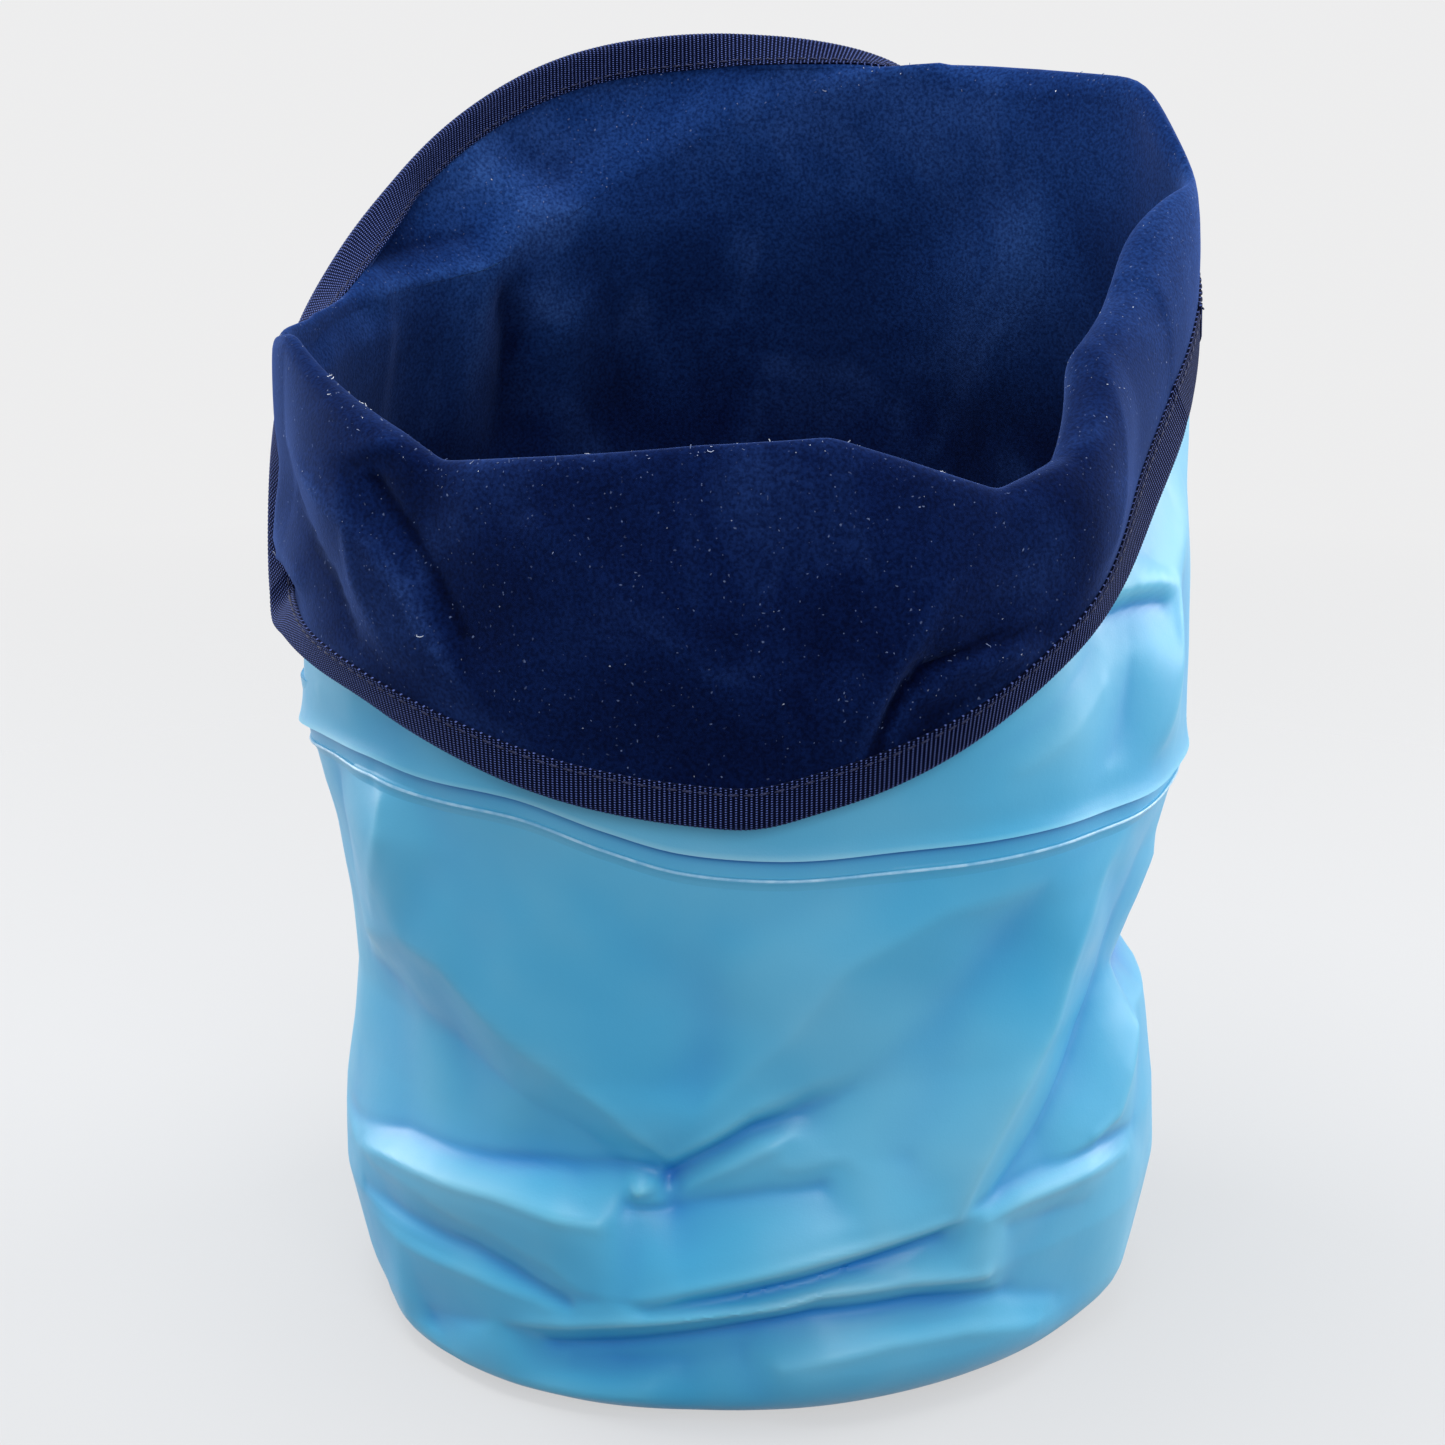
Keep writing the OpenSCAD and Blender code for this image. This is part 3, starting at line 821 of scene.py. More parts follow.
def cuff_curve(fold):
    """Curve of the cuff from the fold to the tape, for every column."""
    reach = CREST_H + CREST_SHARE * np.abs(drop)
    p1 = fold + np.stack([np.zeros(COLUMNS), reach], -1)
    back = tape_start - lead[:, None] * hang_out
    roll = fold[:, 0] + LEAST_LEAD + ROLL_W * np.clip(drop / ROLL_W, 0, 1)
    room = np.maximum(tape_start[:, 0], fold[:, 0] + FLARE_ROLL * flared)
    p2 = np.stack([np.maximum(back[:, 0], np.minimum(roll, room)), back[:, 1]], -1)
    t = np.linspace(0, 1, CUFF_ROWS)[:, None, None]
    s = 1 - t
    return s**3 * fold + 3 * s * s * t * p1 + 3 * s * t * t * p2 + t**3 * tape_start


roll_room = np.where(drop > NEAR_LEVEL, tape_start[:, 0] + FLARE_ROLL * flared - LEAST_LEAD, crest_r)
fold_r = eased(np.minimum(crest_r, roll_room), 6)
fold = np.stack([np.minimum(fold_r, roll_room), crest_z - FOLD_BELOW], -1)
for _ in range(3):
    top = cuff_curve(fold)[:, :, 1].max(0)
    fold[:, 1] += np.where(drop > FULL_DROP, np.minimum(crest_z - top, 0) * CATCH_UP, 0)

collar_folds = {
    "root of the lip": [(318, 184, 0), (326.5, 184, -0.4), (333, 180, 0.4)],
    "lip": [(318, 175, 1.6), (323, 176, 3.4), (327.5, 176, 4.2), (333, 174.8, 4.4), (338, 173.3, 4)],
    "fold under the lip": [
        (316, 171, -0.6), (321, 171.2, -2.2), (327, 171.4, -2.4), (333, 170.4, -0.8), (336, 169, 1.4),
    ],
    "flank edge": [(338, 173.3, 4), (337, 166, 3.8), (335.5, 157, 3.4), (333, 146, 2.6), (330, 137, 0.8)],
    "flank hollow": [(325, 163, -0.4), (323, 151, -0.5), (320, 141, -0.2)],
    "collar ripple": [(299, 149, -0.4), (307, 154, -0.9), (314, 161, -0.9), (319, 167, -0.6)],
    "collar swell": [(303, 145, 0.6), (311, 150, 1), (318, 157, 0.8)],
    "behind the flank edge": [(345, 170, 0), (344, 158, -0.4), (342, 146, 0)],
    "flap on the left": [
        (178, 223, -1), (166, 224.5, -3), (156, 226, -4), (148, 227.5, -4.5), (140, 228.5, -4.5),
        (131, 229.5, -3.8),
    ],
    "behind the flap": [(172, 231, 0.6), (158, 232.5, 2), (145, 234.5, 2.6), (134, 236, 2.2)],
    "edge of the flap": [(131, 229.5, -3.8), (134, 215, -4), (137.5, 195, -2.6), (140, 178, -0.4)],
    "hollow beside the flap": [(129, 222, 1), (127, 210, 3), (128, 196, 2.6), (130, 180, 0.4)],
    "second edge": [(126, 225, -1), (123.5, 221, -2), (117, 211.5, -3), (116, 197, -2.4), (117, 180, -0.4)],
    "shelf at the back": [(125, 206.5, 0.4), (121, 207.5, -2), (117, 211.5, -3)],
    "back hollow": [(112, 228, 0.6), (109, 212, 1.8), (107, 194, 1.8), (106, 176, 0.4)],
    "high streak": [(125, 262, 0.6), (121, 254, 2.4), (118, 250, 2.2), (113, 256, 1), (109, 263, 0.2)],
    "high swell": [(130, 250, -1.2), (124, 245, -1.6), (116, 241, -1.8), (106, 238, -1.2), (96, 238, -0.6)],
    "back swell": [(90, 240, 0.6), (82, 220, 2.4), (77, 196, 2.2), (80, 174, 0.4)],
    "right hollow": [(40, 252, -1), (44, 228, -3), (50, 204, -2.8), (54, 182, -0.8)],
    "right swell": [(18, 242, 0.8), (26, 214, 2.4), (30, 190, 1.8), (32, 170, 0.2)],
    "side swell": [(352, 214, 0.6), (357, 192, 2), (0, 172, 1.8), (0, 156, 0.8)],
    "left hollow": [(203, 198, -2), (195, 188, -4), (189, 178, -4), (184, 165, -1.4)],
    "left rise": [(206, 151, 0.8), (216, 153, 1.6), (228, 152, 1.2)],
    "front sag": [(250, 190, -0.8), (262, 176, -1.2), (280, 178, -1), (292, 186, -0.4)],
}
collar_quiet = [(a, 140, 0) for a in range(0, 360, 18)] + [(a, 300, 0) for a in range(0, 360, 18)]
collar_quiet += [(a, 150, 0) for a in range(9, 300, 24)]
collar_heights = np.linspace(120, 300, 181)
collar_field = crumpled(collar_folds, collar_quiet, collar_heights)
collar_field += undulation(angles, collar_heights, 0.4, 7)
standing = np.clip(-drop / FULL_DROP, 0, 1)


def collar_path():
    """Interface of cloth and velour from the seam line to the fold, rows by columns."""
    foot_r = wall_radius(seam_z) + BOND + BAND_T + COLLAR_CLEAR
    rows = []
    for k in range(COLLAR_ROWS + 1):
        t = k / COLLAR_ROWS
        z = seam_z + (fold[:, 1] - seam_z) * t
        late = t**COLLAR_STAYS_WIDE
        ease = late * late * (3 - 2 * late)
        r = foot_r + (fold[:, 0] - foot_r) * ease
        depth = at_height(collar_field, collar_heights, z)
        fade = min(1, t / FOOT_FADE) * np.maximum(min(1, (1 - t) / FOLD_FADE), standing)
        rows.append(np.stack([r + depth * fade, z], -1))
    return np.array(rows)


def offset(path, distance):
    """Path of (radius, height) rows moved sideways, outwards where it runs up."""
    run = np.gradient(path, axis=0)
    run /= np.linalg.norm(run, axis=2, keepdims=True)
    return path + distance * np.stack([run[..., 1], -run[..., 0]], -1)


def placed(path):
    """Points of a path of (radius, height) rows."""
    return turned(path[..., 0], path[..., 1])


collar_line = collar_path()
lift = np.clip(1 - np.arange(COLLAR_ROWS + 1) / EDGE_ROWS, 0, 1)[:, None] ** 2 * EDGE_LIFT
collar_lifted = collar_line.copy()
collar_lifted[..., 0] += lift
# The collar's crease paints highlight on its ridges and shade in its valleys, and a painted highlight along its lower
# edge.
collar_crease = at_height(creasing(collar_field), collar_heights, collar_line[..., 1])
collar_crease[0] = EDGE_PAINTED_HIGHLIGHT
collar = cloth_shell(
    "collar_cloth", placed(offset(collar_lifted, SHEET_T)), placed(collar_lifted), crease=collar_crease
)
collar.data.materials.append(coated)
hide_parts("collar_panel")
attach(collar, "mouth")

# Collar lining: the velour face inside the collar, from the lap up to the fold.
# Its lower edge covers the top of the wall's lining.
LAP_ROWS = 3
lining_line = collar_line[LAP_ROWS:]
collar_lining = cloth_shell(
    "collar_lining_velour",
    placed(offset(lining_line, -BOND)),
    placed(offset(lining_line, -BOND - PILE_T)),
    crease=-collar_crease[LAP_ROWS:],
)
collar_lining.data.materials.append(velour)
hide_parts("collar_lining")
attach(collar_lining, "mouth")

# Back seam of the collar: the strip that closes the collar, in line with the wall's strip.
# It is cut from the same cloth and welded over the joint, from the lap up to the fold.
collar_back_seam = cloth_shell(
    "collar_back_seam_strip",
    placed(offset(collar_lifted, SHEET_T + BOND + BACK_SEAM_T))[:, back_columns],
    placed(offset(collar_lifted, SHEET_T + BOND))[:, back_columns],
    ring=False,
)
collar_back_seam.data.materials.append(coated)
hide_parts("collar_back_seam")
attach(collar_back_seam, "mouth")

# Cuff: the same sheet turned out over the fold, so its velour shows and the blue is underneath.
# It hangs down in front and at the sides, and stands up at the back on the left.
ROLL_FREE = 0.22
ROLL_FADE = 0.2
TAPE_FADE = 0.06
cuff_folds = {
    "crest of the bulge": [(222, 206, 1.6), (226, 209.5, 2.6), (230, 210.5, 2.6), (237, 208, 1)],
    "side of the bulge": [
        (221, 203, 1.8), (221.5, 199.5, 2.4), (224.3, 192, 2.8), (227, 189.5, 3), (231, 182, 3),
        (235, 171.5, 2.4), (239, 163, 1),
    ],
    "left line": [
        (205, 205, 1.4), (211.5, 202.5, 2.4), (217.3, 197.3, 3), (223, 193.5, 3.4), (224, 182, 2.4),
        (226.4, 173.7, 1.6), (230, 162, 0.4),
    ],
    "left hollow": [(206, 194, -1.6), (213, 188, -2.2), (219, 180, -2.4), (223, 170, -2)],
    "hollow of the bulge": [(226, 202, -1.4), (230, 194, -2), (234.5, 184, -2), (238, 174, -1.6)],
    "edge of the left pouch": [
        (191, 184, 2), (196, 179.5, 4.2), (202, 177, 4.5), (208, 176.5, 3), (213, 177, 0),
    ],
    "under the left pouch": [(193, 175.5, -1.8), (198, 172.5, -2.5), (204, 170.5, -2.5), (211, 169.5, -1.2)],
    "front swell": [(246, 198, 1), (256, 186, 2), (266, 170, 2), (274, 152, 1)],
    "right ridge": [(291.7, 186, 1.6), (288, 175, 3), (284.3, 163, 3.4), (282.1, 149, 2.4)],
    "right valley": [
        (304, 175, -0.8), (296, 173.5, -2), (290, 170.5, -2.4), (286.2, 163, -2.2), (284, 153, -1.4),
    ],
    "right roll": [(305, 170.5, 1), (299, 171, 2.2), (292.6, 169, 2.6), (287.4, 163.5, 2.4), (284.8, 154, 1.4)],
    "under the right roll": [(304, 165, -1), (296, 164.5, -1.6), (290.5, 159, -1.8), (288, 154, -1)],
    "right flank": [(327, 230, 1), (322, 214, 2.2), (318, 196, 2), (314, 184, 0.8)],
}
cuff_quiet = [(a, 120, 0) for a in range(0, 360, 20)] + [(a, 300, 0) for a in range(0, 360, 20)]
cuff_quiet += [(245, 200, 0), (248, 175, 0), (250, 158, 0), (275, 195, 0), (278, 175, -0.4), (300, 195, 0)]
cuff_quiet += [(262, 205, 0), (284, 205, 0), (240, 190, 0), (310, 185, 0), (330, 210, 0), (345, 225, 0), (190, 200, 0)]
cuff_field = crumpled(cuff_folds, cuff_quiet, collar_heights, 1)
cuff_field += undulation(angles, collar_heights, 0.3, 11)


def cuff_path():
    """Interface of cloth and velour from inside the fold over to the rim, rows by columns."""
    curve = cuff_curve(fold)
    grow = np.linspace(0, 1, CUFF_ROWS)[:, None]
    z = curve[..., 1]
    depth = at_height(cuff_field, collar_heights, z)
    tape_fade = np.clip((1 - grow) / TAPE_FADE, 0, 1)
    fade = np.clip((grow - ROLL_FREE) / ROLL_FADE, 0, 1) * tape_fade
    curve[..., 0] += depth * fade * np.clip(drop / FULL_DROP, 0, 1)
    inside = at_height(collar_field, collar_heights, z) * tape_fade
    curve[..., 0] += inside * standing
    edge = hem[None, :, :] - np.linspace(TAPE_W, 0, 8)[1:, None, None] * rim_out[None, :, :]
    return np.concatenate([curve, edge])


cuff_line = cuff_path()
cuff = cloth_shell("cuff_cloth", placed(offset(cuff_line, SHEET_T)), placed(cuff_line))
cuff.data.materials.append(coated)
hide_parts("cuff_panel")
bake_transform(cuff)

# Cuff lining: the velour face of the turned-out sheet, handled most, so it is dusty with lint.
# It is bonded to the cuff and runs under the tape to the rim.
CUFF_EDGE = 0.5
PLAIN_ROWS = 10


def lint(tree, place, under, cell, size, stretch, turn, rare, colour):
    """Scattered lint over a colour: a pale speck or hair in a few of many small cells."""
    curl = tree.nodes.new("ShaderNodeTexNoise")
    curl.inputs["Scale"].default_value = 420
    tree.links.new(place, curl.inputs["Vector"])
    bent = tree.nodes.new("ShaderNodeVectorMath")
    bent.operation = "MULTIPLY_ADD"
    bent.inputs[1].default_value = (0.0022, 0.0022, 0.0022)
    tree.links.new(curl.outputs["Color"], bent.inputs[0])
    tree.links.new(place, bent.inputs[2])
    mapping = tree.nodes.new("ShaderNodeMapping")
    mapping.inputs["Rotation"].default_value = turn
    mapping.inputs["Scale"].default_value = stretch
    tree.links.new(bent.outputs["Vector"], mapping.inputs["Vector"])
    cells = tree.nodes.new("ShaderNodeTexVoronoi")
    cells.inputs["Scale"].default_value = 1 / cell
    tree.links.new(mapping.outputs["Vector"], cells.inputs["Vector"])
    speck = remap(tree, cells.outputs["Distance"], size * 0.4, size, 1.0, 0.0)
    draw = tree.nodes.new("ShaderNodeSeparateColor")
    tree.links.new(cells.outputs["Color"], draw.inputs["Color"])
    chosen = remap(tree, draw.outputs["Red"], rare, 1.0, 0.0, 1.0)
    both = reckon(tree, "MULTIPLY", speck, chosen)
    return colour_mix(tree, both, under, (*colour, 1))


dusty, tree, shader, place, pile = velour_finish("dusty_velour")
dust = (0.13, 0.17, 0.30)
pile = lint(tree, place, pile, 0.0012, 0.20, (1, 1, 1), (0.5, 0.2, 0.4), 0.70, dust)
pile = lint(tree, place, pile, 0.0022, 0.09, (1, 1, 1), (0.3, 0.9, 0.1), 0.86, (0.40, 0.43, 0.52))
tree.links.new(pile, shader.inputs["Base Color"])

velour_face = placed(offset(cuff_line, -BOND - PILE_T))
# The cuff's crease paints shade in its valleys and a highlight on its ridges, with a fine painted line along each
# crease.
cuff_crease = at_height(creasing(cuff_field, CUFF_EDGE), collar_heights, cuff_line[..., 1])
cuff_crease *= np.clip(drop / FULL_DROP, 0, 1)
cuff_crease[:PLAIN_ROWS] = 0
cuff_crease -= at_height(creasing(collar_field), collar_heights, cuff_line[..., 1]) * standing
cuff_lining = cloth_shell("cuff_lining_velour", placed(offset(cuff_line, -BOND)), velour_face, crease=cuff_crease)
cuff_lining.data.materials.append(dusty)

# Lint: short curled fibres that cling to the pile, in loose clusters and singly.
# They are joined to the cuff lining, so they move with it.
LINT_R = 0.10
LINT_LIFT = 0.10
SINGLE_FIBRES = 2400
CLUSTERS = 130
across_run = np.gradient(velour_face, axis=1)
down_run = np.gradient(velour_face, axis=0)
draw = np.random.default_rng(21)
rows_in_use = (6, CUFF_ROWS - 2)
homes = [(draw.integers(*rows_in_use), draw.integers(0, COLUMNS), 3) for _ in range(SINGLE_FIBRES)]
for _ in range(CLUSTERS):
    row, column = draw.integers(*rows_in_use), draw.integers(0, COLUMNS)
    homes += [(row + draw.normal(0, 3), column + draw.normal(0, 7), 5) for _ in range(draw.integers(4, 13))]
lint_points, lint_faces = [], []
for row, column, nodes in homes:
    row, column = int(np.clip(row, *rows_in_use)), int(column) % COLUMNS
    side_way = across_run[row, column] / np.linalg.norm(across_run[row, column])
    out_way = np.cross(side_way, down_run[row, column])
    out_way /= np.linalg.norm(out_way)
    down_way = np.cross(out_way, side_way)
    step = draw.uniform(0.08, 0.35) if nodes == 3 else draw.choice([0.15, 0.3, 0.5]) * draw.uniform(0.7, 1.2)
    heading, curl = draw.uniform(0, 2 * math.pi), draw.normal(0, 0.5)
    spot = velour_face[row, column] + draw.uniform(-0.5, 0.5) * side_way
    start = len(lint_points)
    for node in range(nodes):
        way = math.cos(heading) * side_way + math.sin(heading) * down_way
        flank = np.cross(out_way, way)
        lift = LINT_LIFT + LINT_LIFT * math.sin(math.pi * node / (nodes - 1))
        for corner in range(3):
            turn = 2 * math.pi * corner / 3
            lint_points.append(spot + (lift + LINT_R * math.cos(turn)) * out_way + LINT_R * math.sin(turn) * flank)
        spot = spot + step * way
        heading += curl + draw.normal(0, 0.25)
    for node in range(nodes - 1):
        for corner in range(3):
            low, high = start + 3 * node + corner, start + 3 * node + (corner + 1) % 3
            lint_faces.append((low, high, high + 3, low + 3))
    last = start + 3 * nodes
    lint_faces += [(start + 2, start + 1, start), (last - 3, last - 2, last - 1)]
fluff = new_piece("cuff_lint", lint_points, lint_faces)
fibre, tree, shader, place = new_material("lint", (0.2, 0.24, 0.36), 0.9)
shades = [(0.36, (0.07, 0.10, 0.21)), (0.50, (0.22, 0.26, 0.39)), (0.66, (0.66, 0.69, 0.76))]
tree.links.new(ramp(tree, noise(tree, place, 240, 1), shades), shader.inputs["Base Color"])
shader.inputs["Specular IOR Level"].default_value = 0.1
fluff.data.materials.append(fibre)
cuff_lining.select_set(True)
bpy.context.view_layer.objects.active = cuff_lining
bpy.ops.object.join()
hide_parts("cuff_lining")
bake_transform(cuff_lining)

# Rim binding: ribbed tape folded in half over the rim and sewn through.
# The ribs run across the tape, about a millimetre apart, with rows of thread between them.
RIB_PITCH = 1.0
RIB_H = 0.24
RIB_COLUMNS = 4
TAPE_HALF = 1.35
TAPE_T = 0.55
THREAD_PITCH = 0.5
BEND_RUN = 1.6


def rim_frame(count):
    """Angle, edge and tilt at even steps along the rim, with the rim's length."""
    around = np.append(angles, 360)

    def read(values, at):
        return np.interp(at, around, np.append(values, values[0]))

    fine = np.linspace(0, 360, 7201)
    a = np.radians(fine)
    points = np.stack([read(hem_r, fine) * np.cos(a), read(hem_r, fine) * np.sin(a), read(hem_z, fine)], -1)
    run = np.concatenate([[0], np.cumsum(np.linalg.norm(np.diff(points, axis=0), axis=1))])
    at = np.interp(np.arange(count) * run[-1] / count, run, fine)
    return at, np.stack([read(hem_r, at), read(hem_z, at)], -1), read(tilt, at), run[-1]


rim_length = rim_frame(8)[3]
ribs = int(round(rim_length / RIB_PITCH))
rim_at, rim_edge, rim_turn, _ = rim_frame(ribs * RIB_COLUMNS)
outward = np.stack([np.cos(rim_turn), np.sin(rim_turn)], -1)
upward = np.stack([-np.sin(rim_turn), np.cos(rim_turn)], -1)
rib_profile = np.sqrt(np.abs(np.sin(np.pi * (np.arange(ribs * RIB_COLUMNS) + 0.5) / RIB_COLUMNS)))


def rim_ring(plane):
    """Ring along the rim from its radius and height at every step."""
    a = np.radians(rim_at)
    return np.stack([plane[:, 0] * np.cos(a), plane[:, 0] * np.sin(a), plane[:, 1]], -1)


def tape_ring(back, above, proud):
    """Ring of the tape: distance back from the rim's edge, height off the middle, and rib height."""
    lifted = above + np.sign(above) * proud * RIB_H * (rib_profile - 1)
    return rim_ring(rim_edge - back * outward + lifted[:, None] * upward)


def tape_bend(turn, radius, proud):
    """Ring on the bend of the tape round the rim's edge."""
    size = radius + proud * RIB_H * (rib_profile - 1)
    return rim_ring(rim_edge + (size * math.cos(turn))[:, None] * outward + (size * math.sin(turn))[:, None] * upward)


flat_backs = (TAPE_W, 6.9, 5.0, 3.0, 1.0)
bend_turns = np.radians([-90, -45, 0, 45, 90])
outer_rings = [tape_ring(back, -TAPE_HALF, 1) for back in flat_backs]
outer_rings += [tape_bend(turn, TAPE_HALF, 1) for turn in bend_turns]
outer_rings += [tape_ring(back, TAPE_HALF, 1) for back in reversed(flat_backs)]
inner_rings = [tape_ring(back, -TAPE_HALF + TAPE_T, 0) for back in flat_backs]
inner_rings += [tape_bend(turn, TAPE_HALF - TAPE_T, 0) for turn in bend_turns]
inner_rings += [tape_ring(back, TAPE_HALF - TAPE_T, 0) for back in reversed(flat_backs)]
across = [-TAPE_HALF * BEND_RUN - back for back in flat_backs] + list(TAPE_HALF * bend_turns)
across += [TAPE_HALF * BEND_RUN + back for back in reversed(flat_backs)]
along = np.arange(len(rim_at)) * RIB_PITCH / RIB_COLUMNS
binding = cloth_shell(
    "rim_binding_tape", np.array(outer_rings), np.array(inner_rings), lay=(along, np.array(across + across[::-1]))
)

tape, tree, shader, place = new_material("ribbed_tape", (0.004, 0.006, 0.028), 0.7)
laid = tree.nodes.new("ShaderNodeUVMap")
laid.uv_map = "weave"
ways = tree.nodes.new("ShaderNodeSeparateXYZ")
tree.links.new(laid.outputs["UV"], ways.inputs["Vector"])


def wave(tree, value, pitch):
    """Sine of a distance, one turn for each pitch, from -1 to 1."""
    return reckon(tree, "SINE", reckon(tree, "MULTIPLY", value, 2 * math.pi / pitch))


ribbing = wave(tree, ways.outputs["X"], 2 * RIB_PITCH)
crowns = reckon(tree, "MULTIPLY", ribbing, ribbing)
rows = reckon(tree, "MULTIPLY", wave(tree, ways.outputs["Y"], THREAD_PITCH), ribbing)
woven = reckon(tree, "MULTIPLY", crowns, remap(tree, rows, -0.6, 0.8, 0.15, 1.0))
threads = noise(tree, place, 1900, 2)
# The rows of thread are the tape's own weave; the pale colour on the rib crowns is painted highlight.
weave_and_glint_shades = [(0.15, (0.0004, 0.0014, 0.011)), (0.50, (0.0036, 0.0090, 0.050)), (0.88, (0.120, 0.165, 0.440))]
tree.links.new(ramp(tree, woven, weave_and_glint_shades), shader.inputs["Base Color"])
grain = bump(tree, shader, threads, 0.25, 0.0002)
bump(tree, shader, woven, 0.6, 0.0002, grain)
shader.inputs["Sheen Weight"].default_value = 0.3
shader.inputs["Sheen Roughness"].default_value = 0.35
shader.inputs["Sheen Tint"].default_value = (0.30, 0.38, 0.85, 1)
shader.inputs["Specular IOR Level"].default_value = 0.04
binding.data.materials.append(tape)
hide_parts("rim_binding")
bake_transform(binding)

# Rim stitching: one row of lock stitch near the tape's inner edge, on the velour side.
# Each stitch is a short twisted thread, drawn into the tape at both ends.
STITCH_PITCH = 3.0
STITCH_LENGTH = 2.2
STITCH_BACK = 6.3
THREAD_R = 0.24
THREAD_PROUD = 0.12

bpy.ops.object.select_all(action="DESELECT")
bpy.ops.mesh.primitive_uv_sphere_add(segments=10, ring_count=8, radius=1)
stitch = bpy.context.object
stitch_points = np.array([v.co for v in stitch.data.vertices])
shape = stitch_points * np.array([THREAD_R, THREAD_R, STITCH_LENGTH / 2])
stitch_faces = [list(f.vertices) for f in stitch.data.polygons]
bpy.data.objects.remove(stitch)
stitch_total = int(round(rim_length / STITCH_PITCH))
stitch_at, stitch_edge, stitch_turn, _ = rim_frame(stitch_total)
sewn_points, sewn_faces = [], []
for k in range(stitch_total):
    a, tip = math.radians(stitch_at[k]), stitch_turn[k]
    radial = np.array([math.cos(a), math.sin(a), 0])
    up = np.array([0, 0, 1.0])
    out = math.cos(tip) * radial + math.sin(tip) * up
    over = -math.sin(tip) * radial + math.cos(tip) * up
    nxt = (k + 1) % stitch_total
    here = stitch_edge[k][0] * radial + stitch_edge[k][1] * up
    b = math.radians(stitch_at[nxt])
    there = stitch_edge[nxt][0] * np.array([math.cos(b), math.sin(b), 0]) + stitch_edge[nxt][1] * up
    run = (there - here) / np.linalg.norm(there - here)
    centre = here - STITCH_BACK * out + (TAPE_HALF + THREAD_PROUD) * over
    body = centre + shape[:, :1] * out + shape[:, 1:2] * over + shape[:, 2:] * run
    sewn_faces += [[i + len(sewn_points) * len(shape) for i in f] for f in stitch_faces]
    sewn_points.append(body)
stitching = new_piece("rim_stitching_thread", np.concatenate(sewn_points), sewn_faces)
bpy.ops.object.mode_set(mode="EDIT")
bpy.ops.mesh.select_all(action="SELECT")
bpy.ops.mesh.normals_make_consistent(inside=False)
bpy.ops.object.mode_set(mode="OBJECT")
bpy.ops.object.shade_smooth()
thread, tree, shader, place = new_material("sewing_thread", (0.03, 0.032, 0.08), 0.6)
twist = noise(tree, place, 3200, 1)
shades = [(0.4, (0.006, 0.009, 0.035)), (0.6, (0.020, 0.026, 0.080))]
tree.links.new(ramp(tree, twist, shades), shader.inputs["Base Color"])
bump(tree, shader, twist, 0.4, 0.0002)
shader.inputs["Specular IOR Level"].default_value = 0.25
stitching.data.materials.append(thread)
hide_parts("rim_stitching")
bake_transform(stitching)

# Floor and backdrop: white paper that runs out into the white surroundings.
# Large soft lamps stand above the front and behind both sides.
FLOOR_NEAR = 0.30
FLOOR_FAR = 0.95
PAPER_GLOW = 0.68


def watched_rays(tree):
    """1 for rays that show the surroundings: to the camera, off gloss or through clear matter."""
    rays = tree.nodes.new("ShaderNodeLightPath")
    shown = reckon(tree, "MAXIMUM", rays.outputs["Is Camera Ray"], rays.outputs["Is Glossy Ray"])
    return reckon(tree, "MAXIMUM", shown, rays.outputs["Is Transmission Ray"])


def shader_mix(tree, share, first, second):
    """Two shaders mixed by a share."""
    node = tree.nodes.new("ShaderNodeMixShader")
    for socket, value in zip(node.inputs, (share, first, second)):
        tree.links.new(value, socket)
    return node.outputs["Shader"]


bpy.ops.object.select_all(action="DESELECT")
bpy.ops.mesh.primitive_plane_add(size=4, location=(0, 0, 0))
floor = bpy.context.object
floor.name = "paper_floor"
bpy.ops.object.transform_apply(location=True, rotation=True, scale=True)
paper, tree, shader, place = new_material("white_paper", (0.86, 0.86, 0.87), 0.9)
shader.inputs["Specular IOR Level"].default_value = 0.1
watched = watched_rays(tree)
tint = colour_mix(tree, watched, (0.26, 0.26, 0.27, 1), (0.56, 0.56, 0.56, 1))
tree.links.new(tint, shader.inputs["Base Color"])
reach = tree.nodes.new("ShaderNodeVectorMath")
reach.operation = "LENGTH"
tree.links.new(place, reach.inputs[0])
gone = remap(tree, reach.outputs["Value"], FLOOR_NEAR, FLOOR_FAR, 0.0, 1.0)
glow = tree.nodes.new("ShaderNodeEmission")
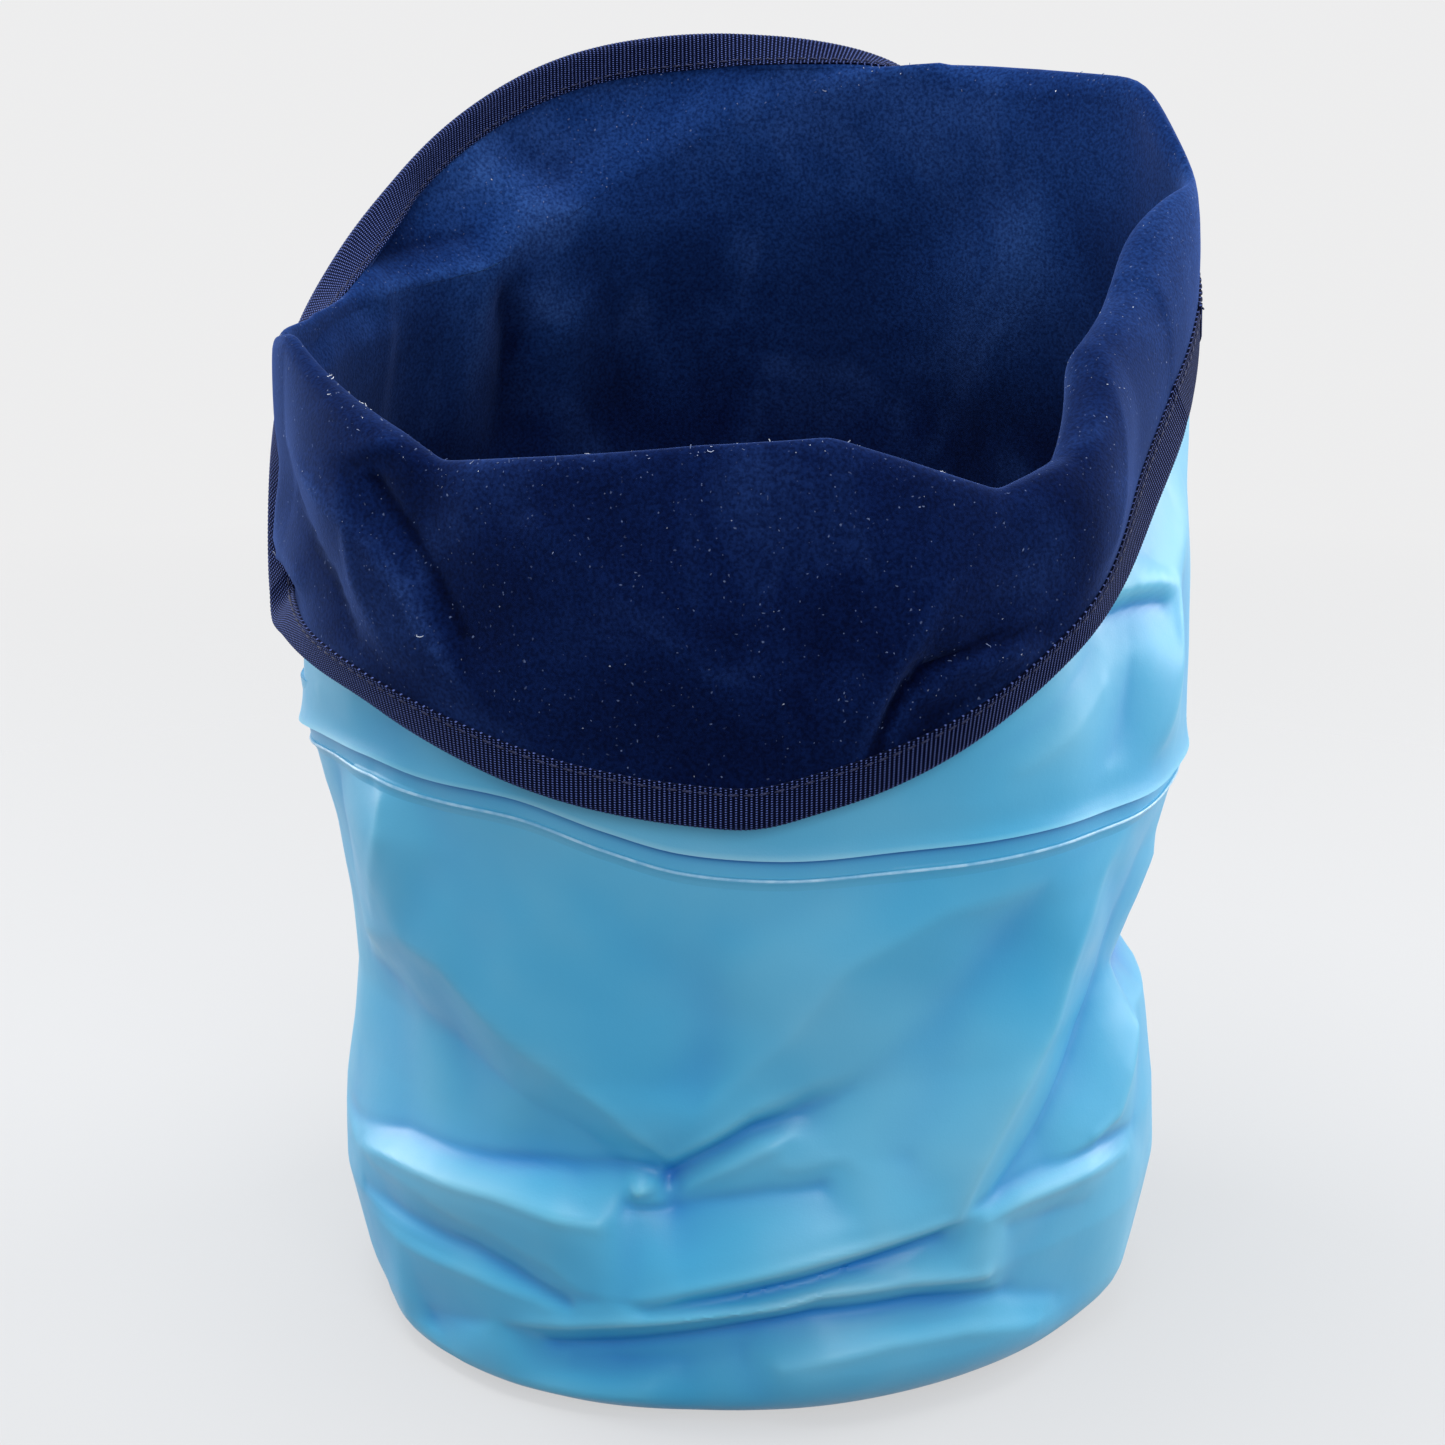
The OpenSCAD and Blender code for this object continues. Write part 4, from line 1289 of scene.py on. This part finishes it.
glow.inputs["Color"].default_value = (0.82, 0.82, 0.825, 1)
clear = tree.nodes.new("ShaderNodeBsdfTransparent")
glowing = reckon(tree, "MULTIPLY", watched, PAPER_GLOW)
lit = shader_mix(tree, glowing, shader.outputs["BSDF"], glow.outputs["Emission"])
fading = shader_mix(tree, reckon(tree, "MULTIPLY", gone, watched), lit, clear.outputs["BSDF"])
tree.links.new(fading, tree.nodes["Material Output"].inputs["Surface"])
floor.data.materials.append(paper)
floor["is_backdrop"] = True


def soft_lamp(name, location, aim, size, power):
    """Softbox turned to a point."""
    data = bpy.data.lights.new(name, "AREA")
    data.shape = "RECTANGLE"
    data.size, data.size_y = size
    data.energy = power
    lamp = bpy.data.objects.new(name, data)
    bpy.context.scene.collection.objects.link(lamp)
    lamp.location = location
    lamp.visible_camera = False
    direction = np.array(aim) - np.array(location)
    flat = math.hypot(direction[0], direction[1])
    lamp.rotation_euler = (math.atan2(flat, -direction[2]), 0, math.atan2(-direction[0], direction[1]))


soft_lamp("top_softbox", (-0.15, -0.10, 1.15), (0, 0, 0.1), (0.9, 0.7), 10.5)
soft_lamp("left_softbox", (-0.95, 0.50, 0.45), (0, 0, 0.15), (0.6, 0.7), 7.4)
soft_lamp("right_softbox", (0.98, 0.36, 0.45), (0, 0, 0.15), (0.8, 0.8), 11.0)
soft_lamp("front_softbox", (0.35, -1.6, 0.95), (0, 0, 0.15), (1.0, 0.8), 10.5)

world = bpy.data.worlds.new("studio")
bpy.context.scene.world = world
world.use_nodes = True
tree = world.node_tree
fill = tree.nodes["Background"]
fill.inputs["Color"].default_value = (0.84, 0.96, 1.14, 1)
fill.inputs["Strength"].default_value = 0.44
white = tree.nodes.new("ShaderNodeBackground")
white.inputs["Color"].default_value = (0.85, 0.85, 0.855, 1)
white.inputs["Strength"].default_value = 1.0
either = shader_mix(tree, watched_rays(tree), fill.outputs["Background"], white.outputs["Background"])
tree.links.new(either, tree.nodes["World Output"].inputs["Surface"])

bpy.context.scene.view_settings.view_transform = "Standard"
low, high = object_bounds()
